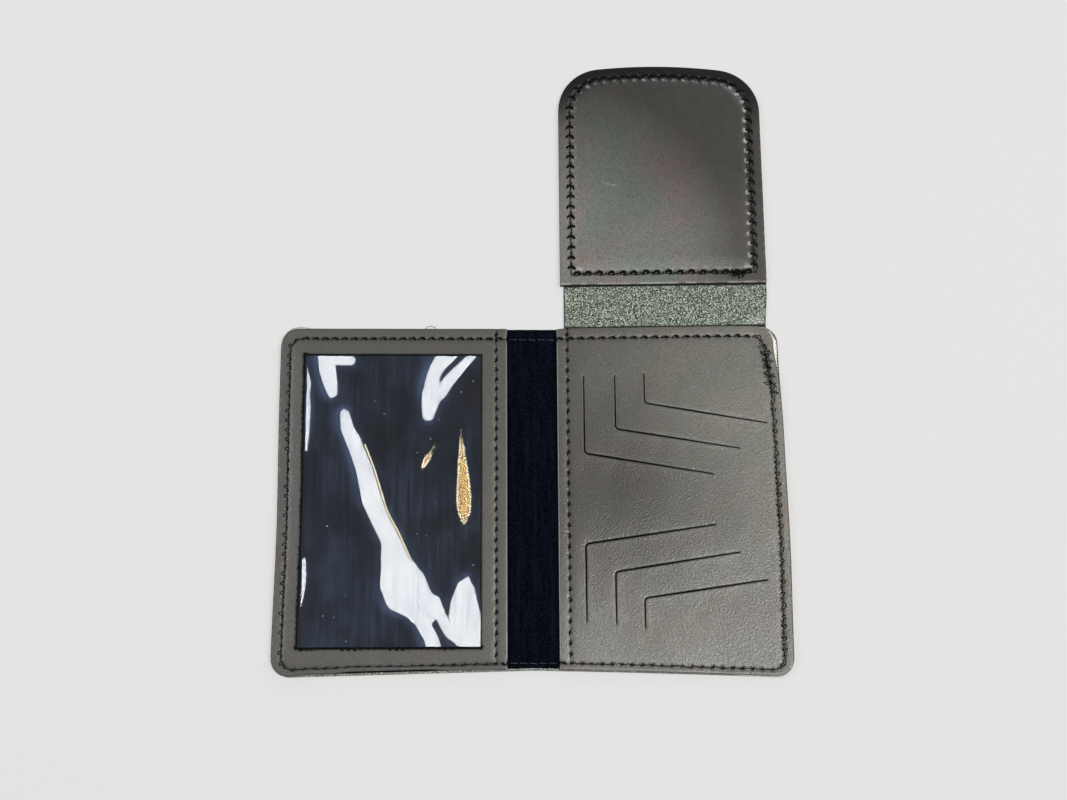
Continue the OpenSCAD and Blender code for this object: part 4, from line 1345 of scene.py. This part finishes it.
STRAIGHT = stitch_form("straight", [
    ([(-HALF, 0.0, -0.1), (-1.1, 0.22, 0.12), (-0.3, -0.14, 0.1), (0.4, 0.2, 0.14), (1.1, -0.2, 0.1),
      (HALF, 0.0, -0.1)], WAVER),
])
TICK = stitch_form("tick", [
    ([(-HALF, 0.0, -0.1), (-1.1, -0.2, 0.12), (-0.3, 0.24, 0.14), (0.4, -0.14, -0.14), (1.1, 0.22, 0.12),
      (HALF, 0.0, -0.1)], WAVER),
    ([(-1.4, 0.0, 0.0), (-1.1, 0.45, 0.2), (-0.7, 0.8, -0.1)], [0.12, 0.18, 0.10]),
])
TICK_LOOP = stitch_form("tick_loop", [
    ([(-HALF, 0.0, -0.1), (-1.1, 0.26, 0.12), (-0.3, -0.2, -0.14), (0.4, 0.24, 0.14), (1.1, -0.1, -0.1),
      (HALF, 0.0, -0.1)], WAVER),
    ([(-1.0, 0.0, 0.05), (-0.95, 0.75, 0.16), (-0.4, 1.15, 0.18), (0.15, 0.8, 0.18), (-0.15, 0.0, 0.05)],
     [0.12, 0.19, 0.21, 0.19, 0.12]),
])
# Sewn over again and again at the card half's top corner, a tangle of thick thread
TANGLE = stitch_form("tangle", [
    ([(-HALF, 0.7, -0.1), (-1.0, -0.8, 0.3), (-0.2, 1.1, 0.4), (0.4, -1.0, 0.3), (1.1, 0.9, 0.35),
      (HALF, -0.8, -0.1)], [0.12, 0.17, 0.20, 0.18, 0.17, 0.12]),
    ([(-1.2, -1.4, 0.0), (-0.5, -0.5, 0.5), (0.1, 0.3, 0.6), (0.9, 1.3, 0.0)], [0.12, 0.15, 0.16, 0.12]),
])
TANGLE_WIDE = stitch_form("tangle_wide", [
    ([(-HALF, -0.6, -0.1), (-0.9, 1.3, 0.25), (-0.1, -0.3, 0.45), (0.5, -1.5, 0.25), (1.0, -0.1, 0.35),
      (HALF, 0.6, -0.1)], [0.12, 0.16, 0.20, 0.17, 0.16, 0.12]),
    ([(-1.3, 0.3, 0.1), (-0.9, -1.1, 0.3), (0.0, -1.7, 0.3), (0.2, -0.6, 0.5), (-0.5, 0.0, 0.5)],
     [0.12, 0.16, 0.16, 0.15, 0.12]),
])
# The flap's left side: two threads caught at each hole, so that each stitch spreads like a barb
BARB = stitch_form("barb", [
    ([(-HALF, 0.0, -0.2), (-0.9, 0.1, 0.14), (0.0, 0.0, 0.14), (1.0, -0.08, 0.08), (HALF, 0.0, -0.2)],
     [0.18, 0.24, 0.16, 0.14, 0.14]),
    ([(-1.0, 0.0, 0.15), (-0.55, 0.5, 0.32), (0.0, 1.0, 0.3), (0.3, 1.4, -0.2)], [0.26, 0.38, 0.50, 0.26]),
    ([(-1.0, 0.0, 0.15), (-0.6, -0.5, 0.32), (-0.1, -0.95, 0.3), (0.2, -1.35, -0.2)],
     [0.26, 0.36, 0.46, 0.24]),
])
BARB_BROAD = stitch_form("barb_broad", [
    ([(-HALF, 0.05, -0.2), (-0.8, -0.1, 0.14), (0.3, 0.1, 0.14), (1.2, 0.0, 0.08), (HALF, 0.0, -0.2)],
     [0.18, 0.22, 0.16, 0.14, 0.14]),
    ([(-0.8, 0.05, 0.15), (-0.5, 0.6, 0.32), (0.1, 1.1, 0.3), (0.6, 1.3, -0.2)], [0.26, 0.40, 0.48, 0.22]),
    ([(-1.1, -0.05, 0.15), (-0.8, -0.6, 0.3), (-0.3, -1.1, 0.3), (0.3, -1.3, -0.2)],
     [0.24, 0.34, 0.48, 0.24]),
])
# The flap's top: a thick scalloped thread outside, from which each stitch dives inwards between puckers
DIVE = stitch_form("dive", [
    ([(-HALF, -0.35, -0.1), (-0.9, -0.75, 0.2), (0.0, -0.65, 0.3), (0.8, -0.4, 0.25), (1.3, 0.0, 0.2),
      (1.5, 0.6, 0.15), (1.6, 1.15, -0.25)], [0.24, 0.42, 0.46, 0.40, 0.32, 0.22, 0.14]),
    ([(-HALF, -0.3, -0.1), (0.0, 0.0, 0.1), (HALF, -0.3, -0.1)], [0.14, 0.16, 0.14]),
])
# The flap's right side: fat arcs across the seam, which lie over each other like scales
COMMA = stitch_form("comma", [
    ([(0.1, 1.6, -0.15), (0.5, 1.15, 0.25), (0.75, 0.4, 0.34), (0.5, -0.45, 0.34), (0.0, -1.0, 0.28),
      (-0.6, -1.1, 0.12), (-1.1, -0.8, -0.1)], [0.20, 0.36, 0.42, 0.42, 0.32, 0.20, 0.12]),
    ([(-HALF, -0.2, -0.1), (-0.7, 0.35, 0.1), (0.4, -0.1, 0.1), (HALF, -0.2, -0.1)],
     [0.11, 0.14, 0.13, 0.11]),
])
# The flap's foot: a fat knot at each hole and a thin thread between
KNOT = stitch_form("knot", [
    ([(-1.1, -0.4, -0.15), (-0.95, 0.2, 0.22), (-0.35, 0.6, 0.32), (0.35, 0.5, 0.34), (0.75, -0.05, 0.28),
      (0.5, -0.5, 0.15), (0.0, -0.6, -0.1)], [0.2, 0.38, 0.52, 0.54, 0.44, 0.3, 0.16]),
    ([(-HALF, -0.5, -0.1), (-0.5, -0.5, 0.1), (0.7, -0.2, 0.1), (HALF, -0.5, -0.1)],
     [0.13, 0.16, 0.16, 0.13]),
])
# Plain stitches of the outside, and fine ones across the bare spine
PLAIN = stitch_form("plain", [(
    [(-1.5, 0.0, -0.3), (-1.3, 0.04, 0.02), (-0.5, 0.03, 0.14), (0.5, -0.03, 0.14), (1.3, -0.04, 0.02),
     (1.5, 0.0, -0.3)], [0.22, 0.28, 0.31, 0.31, 0.28, 0.22])])
FINE = stitch_form("fine", [(
    [(-1.5, 0.10, -0.2), (-1.2, 0.09, 0.02), (0.0, 0.0, 0.05), (1.2, -0.09, 0.02), (1.5, -0.10, -0.2)],
    [0.06, 0.09, 0.11, 0.09, 0.06])])


def sockets_of(sockets, kind):
    """A node's sockets of one kind, by their names."""
    return {socket.name: socket for socket in sockets if socket.type == kind}


def stitch_tree():
    """Geometry Nodes that set one of three stitch forms, turned and shifted a little, along a path."""
    tree = bpy.data.node_groups.new("stitch_row", "GeometryNodeTree")
    sockets = (
        ("Path", "INPUT", "NodeSocketGeometry"), ("First", "INPUT", "NodeSocketObject"),
        ("Second", "INPUT", "NodeSocketObject"), ("Third", "INPUT", "NodeSocketObject"),
        ("Stitches", "INPUT", "NodeSocketInt"), ("Lean", "INPUT", "NodeSocketFloat"),
        ("Waver", "INPUT", "NodeSocketFloat"), ("Seed", "INPUT", "NodeSocketInt"),
        ("Stretch", "INPUT", "NodeSocketFloat"), ("Thread", "INPUT", "NodeSocketMaterial"),
        ("Row", "OUTPUT", "NodeSocketGeometry"),
    )
    for name, way, kind in sockets:
        tree.interface.new_socket(name, in_out=way, socket_type=kind)
    given = add(tree, "NodeGroupInput").outputs
    curve = add(tree, "GeometryNodeMeshToCurve", {"Mesh": given["Path"]})
    points = add(tree, "GeometryNodeCurveToPoints", {"Curve": curve, "Count": given["Stitches"]},
                 mode="COUNT")
    forms = add(tree, "GeometryNodeJoinGeometry")
    for name in ("Third", "Second", "First"):
        form = add(tree, "GeometryNodeObjectInfo", {"Object": given[name], "As Instance": True})
        tree.links.new(form.outputs["Geometry"], forms.inputs[0])
    choice = add(tree, "FunctionNodeRandomValue", {"Seed": given["Seed"]}, data_type="INT")
    limits = sockets_of(choice.inputs, "INT")
    limits["Min"].default_value, limits["Max"].default_value = 0, 2
    turn = add(tree, "FunctionNodeAlignRotationToVector", {"Vector": points.outputs["Tangent"]},
               axis="X", pivot_axis="Z")
    size = add(tree, "ShaderNodeCombineXYZ", {"X": given["Stretch"], "Y": 1.0, "Z": 1.0})
    row = add(tree, "GeometryNodeInstanceOnPoints", {
        "Points": points, "Instance": forms, "Pick Instance": True, "Rotation": turn, "Scale": size,
        "Instance Index": sockets_of(choice.outputs, "INT")["Value"],
    })
    swing = add(tree, "FunctionNodeRandomValue", {"Seed": given["Seed"]}, data_type="FLOAT")
    least = add(tree, "ShaderNodeMath", {0: given["Lean"], 1: -1.0}, operation="MULTIPLY")
    limits = sockets_of(swing.inputs, "VALUE")
    tree.links.new(least.outputs[0], limits["Min"])
    tree.links.new(given["Lean"], limits["Max"])
    angles = add(tree, "ShaderNodeCombineXYZ", {"Z": sockets_of(swing.outputs, "VALUE")["Value"]})
    turned = add(tree, "GeometryNodeRotateInstances", {"Instances": row, "Rotation": angles})
    drift = add(tree, "FunctionNodeRandomValue", {"Seed": given["Seed"]}, data_type="FLOAT_VECTOR")
    limits = sockets_of(drift.inputs, "VECTOR")
    limits["Min"].default_value, limits["Max"].default_value = (-1, -1, -0.3), (1, 1, 0.3)
    drifted = sockets_of(drift.outputs, "VECTOR")["Value"]
    scaled = add(tree, "ShaderNodeVectorMath", {0: drifted, "Scale": given["Waver"]}, operation="SCALE")
    moved = add(tree, "GeometryNodeTranslateInstances", {"Instances": turned, "Translation": scaled})
    real = add(tree, "GeometryNodeRealizeInstances", {"Geometry": moved})
    dyed = add(tree, "GeometryNodeSetMaterial", {"Geometry": real, "Material": given["Thread"]})
    add(tree, "NodeGroupOutput", {"Row": dyed})
    return tree


STITCH_TREE = stitch_tree()


def route_of(seam, reverse):
    """An object whose edges follow a seam, laid flat, from its first stitch's middle to its last one's."""
    route = seam.track.part(seam.pitch / 2, seam.track.length - seam.pitch / 2)
    if seam.count == 1:
        middle = seam.track.length / 2
        route = [tuple(seam.track.at(middle - 0.01)), tuple(seam.track.at(middle + 0.01))]
    if reverse:
        route = route[::-1]
    placed = np.column_stack([np.array(route), np.zeros(len(route))])
    mesh = bpy.data.meshes.new("route")
    mesh.from_pydata((placed * MM).tolist(), [(i, i + 1) for i in range(len(placed) - 1)], [])
    return put_in_scene("route", mesh)


def stitch_row(seam, surface, forms, hand, seed, thread, reverse=False, back=False, pulled=False):
    """The mesh of one seam's stitches: set out along its path in a plane, then laid on its surface.

    hand is how far the stitches lean, in radians, and how far they waver. With back the surface is one
    that faces down, and with pulled the leather that they hold is the one that is drawn in.
    """
    carrier = route_of(seam, reverse)
    modifier = carrier.modifiers.new("stitches", "NODES")
    modifier.node_group = STITCH_TREE
    lean, waver = hand
    values = {
        "First": forms[0], "Second": forms[1 % len(forms)], "Third": forms[-1], "Stitches": seam.count,
        "Lean": lean, "Waver": waver * MM, "Seed": seed, "Stretch": seam.pitch / PITCH, "Thread": thread,
    }
    for item in STITCH_TREE.interface.items_tree:
        if item.in_out == "INPUT" and item.name in values:
            modifier[item.identifier] = values[item.name]
    bpy.context.view_layer.update()
    drawn = carrier.evaluated_get(bpy.context.evaluated_depsgraph_get())
    made = bpy.data.meshes.new_from_object(drawn)
    carrier.modifiers.remove(modifier)
    bpy.data.objects.remove(carrier)
    places = np.empty(3 * len(made.vertices))
    made.vertices.foreach_get("co", places)
    places = places.reshape(-1, 3)
    flat = places[:, :2] / MM
    places[:, 2] = surface(flat) * MM + (-places[:, 2] if back else places[:, 2])
    places[:, :2] = cut_by_hand(flat, pulled) * MM
    made.vertices.foreach_set("co", places.ravel())
    if back:
        made.flip_normals()
    return made


def joined(name, meshes, material):
    """One object of several meshes, all of one material."""
    verts, faces = [], []
    for mesh in meshes:
        first = len(verts)
        verts += [tuple(v.co) for v in mesh.vertices]
        faces += [tuple(first + i for i in p.vertices) for p in mesh.polygons]
    mesh = bpy.data.meshes.new(name)
    mesh.from_pydata(verts, [], faces)
    mesh.materials.append(material)
    mesh.polygons.foreach_set("use_smooth", [True] * len(faces))
    mesh.update()
    return put_in_scene(name, mesh)


def loose_thread(points, radius):
    """The mesh of a loose bit of thread through points in millimetres."""
    verts, faces = strand(points, [radius] * (len(points) - 1) + [radius * 0.6])
    mesh = bpy.data.meshes.new("loose")
    mesh.from_pydata([v * MM for v in verts], [], faces)
    return mesh


# Loose ends of thread that stick out past the window half's top edge
LOOSE_ENDS = (
    loose_thread([(-38.6, 10.1, 1.9), (-37.6, 10.9, 2.2), (-36.4, 11.1, 2.3), (-34.9, 10.5, 2.2),
                  (-34.5, 9.2, 1.9)], 0.11),
    loose_thread([(-88.4, 8.4, 2.2), (-86.2, 10.0, 2.4), (-83.5, 10.5, 2.5), (-80.1, 10.2, 2.3)], 0.08),
)


# Pieces

# Half widths of the bands of fine mesh round a fold of the spine in the cover, and past it in the lining
COVER_BAND, LINING_BAND = 2.4, 2.5
# Rows of points across the film's sharpest folds, by how far they lie from the middle
CREASE_ROWS = (-0.6, -0.3, -0.15, 0.0, 0.15, 0.3, 0.6)


def own(piece, body, node):
    """Sets a finished piece on its body, in place of the node that it stands for."""
    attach(piece, body)
    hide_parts(node)


def bend_at_fold(piece, side, slot, *nodes):
    """Bakes a sheet's placement into its mesh and hides the nodes that it stands for."""
    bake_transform(piece)
    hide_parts(*nodes)


def near_fold(points):
    """True in the bands of the cover that bend when the wallet shuts."""
    x, y = points[:, 0], points[:, 1]
    spine = np.abs(np.abs(x) - FOLD_X) < COVER_BAND
    return spine | ((y > SPLIT_Y) & (y < FLAP_FOOT_Y + 1) & (x > INNER_X))


def near_spine(points):
    """True in the band of the lining that lies bare and bends."""
    return np.abs(points[:, 0]) < FOLD_X + LINING_BAND


def make_cover_piece(name, outline):
    """One piece of the cover, with its flesh side up and the seams that come through on its outside."""
    return make_sheet(name, [outline], [seam.track for seam in BACK_SEAMS], cover_face, cover_back,
                      (SUEDE, OUTER_LEATHER, DARK_EDGE), fine=near_fold, edges=FREE_EDGES)


def make_cover():
    """The cover's three pieces: its two halves, which meet in the middle of the spine, and the flap's tab."""
    window_half = make_cover_piece("cover_window_half", WINDOW_COVER_LOOP)
    card_half = make_cover_piece("cover_card_half", CARD_COVER_LOOP)
    tab = make_cover_piece("cover_flap_tab", TAB_LOOP)
    bend_at_fold(window_half, -1, "cover_leather", "cover_window_side", "cover_spine")
    bend_at_fold(card_half, 1, "cover_leather", "cover_card_side")
    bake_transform(tab)
    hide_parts("cover_flap")


def make_lining(name, outline, side, cover, *nodes):
    """One half of the lining, a flat cloth held by the seams round it."""
    lining = make_sheet(name, [outline], [seam.track for seam in SPINE_SEAMS.values()], lining_face,
                        level(LINING_LOW.z + CLEARANCE), (LINING, LINING, LINING), fine=near_spine,
                        pulled=side > 0, edges=[])
    bend_at_fold(lining, side, "lining_cloth", *nodes)
    legs = zip(outline, outline[1:] + outline[:1])
    area = 0.5 * abs(sum(x0 * y1 - x1 * y0 for (x0, y0), (x1, y1) in legs))


def make_card_panel():
    """The card half's inner leather with its six slits."""
    panel = make_sheet("card_panel_leather",
                       [half_outline(RIM, INNER_X), *(slit_outline(track) for track in SLIT_TRACKS)],
                       [seam.track for seam in CARD_SEAMS.values()], CARD_FACE,
                       level(PANEL_LOW.z + CLEARANCE), (INNER_LEATHER, SUEDE, DARK_EDGE), pulled=True)
    own(panel, "card_side", "card_panel")


def make_window_frame():
    """The window half's inner leather round its window."""
    leather = make_sheet("window_frame_leather", [mirrored(half_outline(RIM, INNER_X)), WINDOW_HOLE],
                         [seam.track for seam in WINDOW_SEAMS.values()], FRAME_FACE,
                         level(FRAME_LOW.z + FRAME_CLEARANCE), (INNER_LEATHER, SUEDE, DARK_EDGE), pulled=True)
    own(leather, "window_side", "window_frame")


def make_film():
    """The window's film, with rows of points close together across its sharpest folds."""
    outline = mirrored(half_outline(OUTER_X + FILM_LOW.x, -FILM_HIGH.x))
    folds = [Track(np.array(route)[:, :2]) for route in WARM_FOLDS]
    more = [(x + aside, y) for fold in folds for x, y in fold.part(0, fold.length)
            for aside in CREASE_ROWS]
    film = make_sheet("window_film_clear", [outline], [], film_top, film_bottom, (VINYL, VINYL, VINYL),
                      fine=in_window, edges=[], normals=film_normals, more=more)
    own(film, "window_side", "window_film")


def make_flap_face():
    """The leather sewn over the board on the end of the cover's tab."""
    face = make_sheet("flap_face_leather", [[(FLAP_LOW.x, FLAP_FOOT_Y), *flap_outline()[:-1]]],
                      [*(seam.track for seam in FLAP_SEAMS.values()), SCRATCH], flap_top, flap_underside,
                      (FLAP_LEATHER, SUEDE, DARK_EDGE))
    own(face, "flap", "flap_face")


def colour_board():
    """Gives the board inside the flap its material, while its shape stays the model's."""
    board = frame["nodes"]["flap_board"]
    board.data.materials.clear()
    board.data.materials.append(BOARD)


make_cover()
make_lining("lining_card_half", half_outline(LINING_RIM, 0), 1, "cover_card_half", "lining_card_side")
make_lining("lining_window_half", mirrored(half_outline(LINING_RIM, 0)), -1, "cover_window_half",
            "lining_window_side", "lining_spine")
make_card_panel()
make_window_frame()
make_film()
make_flap_face()
colour_board()


# Sewing

def laid_on(face, lift=0.08):
    """Height of a thread's middle on a face."""
    return lambda points: face(points)[0] + lift


def sew(name, rows, body, node, thread=BLACK_THREAD, extra=()):
    """One piece of several seams: each row is a seam, its surface, its stitch forms, its hand and options.

    Every row has a seed of its own, counted on from the length of the piece's name.
    """
    meshes = [stitch_row(seam, surface, forms, hand, seed, thread, **options)
              for seed, (seam, surface, forms, hand, options) in enumerate(rows, len(name))]
    own(joined(name, [*meshes, *extra], thread), body, node)


# Three stitch forms of each run, out of which every stitch is picked
NEAT = (LOCK, LOCK_SHORT, LOCK)
DOTTED = (DOT, DOT_STEEP, DOT)
HOOKED = (HOOK_OUT, HOOK_LOOSE, LOOP_OUT)
TICKED = (STRAIGHT, TICK, TICK)
LOOPED = (TICK_LOOP, TICK, TICK_LOOP)
TANGLED = (TANGLE, TANGLE_WIDE, TANGLE)
BARBED = (BARB, BARB_BROAD, BARB)
# Hands, each the most that its stitches lean, in radians, and waver, in millimetres
LEAN, SLACK_LEAN, MESSY_LEAN = (math.radians(angle) for angle in (9, 14, 22))
STEADY = (LEAN, 0.06)
BY_SPINE = (LEAN, 0.08)
CARD_RIM = (LEAN, 0.14)
WINDOW_RIM = (LEAN, 0.1)
ACROSS_SPINE = (0.08, 0.08)
OUTSIDE = (0.03, 0.03)
# Heights of the stitches on the outside of the cover and on the lining
BACK_LINE = laid_on(level(COVER_LOW.z), 0.45)
LINING_LINE = laid_on(level(LINING_HIGH.z), 0.02)
# Short seams that were sewn over again: at the card half's top corner, and at the flap's lower right corner
OVERSEWN = (Seam([(88.0, -15.2), (87.5, -6.0), (86.5, 2.0)], 2.9), Seam([(85.9, -11.6), (85.1, 3.6)], 2.7))
FLAP_SEAM_Y = FLAP_FOOT_Y + FLAP_SEAM_INSET
BACK_TACK = Seam([(72.7, FLAP_SEAM_Y), (79.0, FLAP_SEAM_Y - 0.5)], 1.6)
BACK_TACK_LOW = Seam([(73.8, FLAP_SEAM_Y - 1.4), (78.4, FLAP_SEAM_Y - 1.0)], 1.8)


def sew_half(half, seams, face, outer_forms, rim_hand, reverse, oversewn=(), loose_ends=()):
    """The stitches of one half: its top seam, the one beside the spine, and its edge seam on both sides."""
    line, pulled = laid_on(face), {"pulled": True}
    sew(f"top_stitches_{half}", [
        (seams["top"], line, NEAT, STEADY, {"reverse": reverse, "pulled": True}),
        (seams["top_end"], line, NEAT, STEADY, {"reverse": reverse}),
    ], half, f"top_thread_{half}", extra=loose_ends)
    sew(f"fold_stitches_{half}", [
        (seams["fold"], line, DOTTED, BY_SPINE, {"reverse": True}),
        (seams["fold_end"], line, NEAT, STEADY, {}),
    ], half, f"fold_thread_{half}")
    sew(f"edge_stitches_{half}", [
        (seams["outer"], line, outer_forms, rim_hand, pulled),
        (seams["bottom"], line, TICKED, rim_hand, pulled),
        (seams["bottom_end"], line, NEAT, STEADY, {}),
        *((seam, line, TANGLED, (MESSY_LEAN, 0.6), pulled) for seam in oversewn),
    ], half, f"edge_thread_{half}")
    sew(f"edge_stitches_{half}_back", [
        (seams[run], BACK_LINE, (PLAIN,), OUTSIDE, {"back": True})
        for run in ("outer", "bottom", "bottom_end")
    ], half, f"edge_thread_{half}_back")


def sew_spine():
    """The two seams that cross the spine, the lower of which comes through on the outside."""
    top, foot = SPINE_SEAMS["spine_top"], SPINE_SEAMS["spine_foot"]
    sew("top_stitches_spine", [(top, LINING_LINE, (FINE,), ACROSS_SPINE, {})],
        "spine", "top_thread_spine", thread=HIGHLIT_SPINE_THREAD)
    sew("edge_stitches_spine", [(foot, LINING_LINE, (FINE,), ACROSS_SPINE, {})],
        "spine", "edge_thread_spine", thread=HIGHLIT_SPINE_THREAD)
    sew("edge_stitches_spine_back", [(foot, BACK_LINE, (PLAIN,), OUTSIDE, {"back": True})],
        "spine", "edge_thread_spine_back")


def sew_flap():
    """The flap's seam, with forms of its own on each side, and the same seam on the outside."""
    line = laid_on(flap_top)
    sew("flap_stitches_face", [
        (FLAP_SEAMS["flap_left"], line, BARBED, (SLACK_LEAN, 0.12), {}),
        (FLAP_SEAMS["flap_right"], line, (COMMA,), (SLACK_LEAN, 0.14), {}),
        (FLAP_SEAMS["flap_top"], line, (DIVE,), (SLACK_LEAN, 0.1), {}),
        (FLAP_SEAMS["flap_foot"], line, (KNOT,), (SLACK_LEAN, 0.14), {}),
        (BACK_TACK, line, (TANGLE, KNOT), (MESSY_LEAN, 0.3), {}),
        (BACK_TACK_LOW, line, (TANGLE, TANGLE_WIDE), (MESSY_LEAN, 0.5), {}),
    ], "flap", "flap_thread_face")
    sew("flap_stitches_back", [
        (seam, BACK_LINE, (PLAIN,), OUTSIDE, {"back": True}) for seam in FLAP_SEAMS.values()
    ], "flap", "flap_thread_back")


sew_half("card_side", CARD_SEAMS, CARD_FACE, HOOKED, CARD_RIM, reverse=False, oversewn=OVERSEWN)
sew_half("window_side", WINDOW_SEAMS, FRAME_FACE, LOOPED, WINDOW_RIM, reverse=True, loose_ends=LOOSE_ENDS)
sew_spine()
sew_flap()


# Floor, lights and camera

def floor_paint():
    """Pale matt floor, shown nearly evenly to the camera but still shaded by the wallet."""
    material, tree = new_material("pale_floor")
    matt = add(tree, "ShaderNodeBsdfDiffuse", {"Color": paint("#b4b4b4")})
    glow = add(tree, "ShaderNodeEmission", {"Color": paint("#e5e5e5"), "Strength": 1.0})
    rays = add(tree, "ShaderNodeLightPath").outputs
    seen = rays["Is Camera Ray"]
    for ray in ("Is Glossy Ray", "Is Transmission Ray"):
        seen = add(tree, "ShaderNodeMath", {0: seen, 1: rays[ray]}, operation="MAXIMUM")
    even_share = add(tree, "ShaderNodeMath", {0: seen, 1: 0.7}, operation="MULTIPLY")
    mixed = add(tree, "ShaderNodeMixShader", {0: even_share, 1: matt, 2: glow})
    add(tree, "ShaderNodeOutputMaterial", {"Surface": mixed})
    return material


def make_floor():
    """A wide floor just under the wallet."""
    reach, drop = 4.0, 0.00005
    mesh = bpy.data.meshes.new("floor")
    mesh.from_pydata([(-reach, -reach, 0), (reach, -reach, 0), (reach, reach, 0), (-reach, reach, 0)], [],
                     [(0, 1, 2, 3)])
    mesh.materials.append(floor_paint())
    made = put_in_scene("floor", mesh)
    made.location.z = -drop


def soft_light(name, place, aim, size, watts, colour="#ffffff"):
    """A rectangular soft box that faces its aim, in metres."""
    lamp = bpy.data.lights.new(name, "AREA")
    lamp.shape = "RECTANGLE"
    lamp.size, lamp.size_y = size
    lamp.energy = watts
    lamp.color = paint(colour)[:3]
    made = put_in_scene(name, lamp)
    made.location = place
    made.rotation_euler = (Vector(aim) - Vector(place)).to_track_quat("-Z", "Y").to_euler()


def make_world():
    """Even pale surroundings, dimmer as light than as background."""
    world = bpy.data.worlds.new("studio")
    world.use_nodes = True
    world.node_tree.nodes.clear()
    tree = world.node_tree
    rays = add(tree, "ShaderNodeLightPath").outputs
    strength = add(tree, "ShaderNodeMix", {0: rays["Is Camera Ray"], 2: 0.3, 3: 1.0}, data_type="FLOAT")
    glow = add(tree, "ShaderNodeBackground", {"Color": paint("#e5e5e5"), "Strength": strength})
    add(tree, "ShaderNodeOutputWorld", {"Surface": glow})
    bpy.context.scene.world = world


def make_camera():
    """The photograph's view: from above, leaning a little towards the viewer."""
    lens_px, frame_px, sensor_mm = 1503.0, 1067, 36.0
    camera = bpy.data.cameras.new("camera")
    camera.sensor_width = sensor_mm
    camera.lens = lens_px / frame_px * sensor_mm
    camera.clip_start = 0.01
    made = put_in_scene("camera", camera)
    turn, tilt, roll = (math.radians(a) for a in (-6.855, 13.699, 6.697))
    made.matrix_world = (Matrix.Translation(VIEWER)
                         @ Matrix.Rotation(turn, 4, "Z") @ Matrix.Rotation(tilt, 4, "X")
                         @ Matrix.Rotation(roll, 4, "Z"))
    bpy.context.scene.camera = made


make_floor()
make_world()
make_camera()
# The window's light and the warm lamp show in the film, the other two give the leather its sheen
soft_light("window_light", WINDOW_LIGHT, (-0.05, -0.05, 0), (0.4, 0.6), 9.5)
soft_light("sheen_light", (0.50, -0.22, 1.22), (0.07, -0.09, 0), (0.3, 0.3), 15)
soft_light("far_light", (0.68, 1.12, 0.75), (0.05, 0.05, 0), (0.5, 0.5), 9)
soft_light("warm_lamp", WARM_LAMP, (-0.05, -0.05, 0), (0.14, 0.2), 1.15, "#ffc868")
bpy.context.scene.view_settings.view_transform = "Standard"
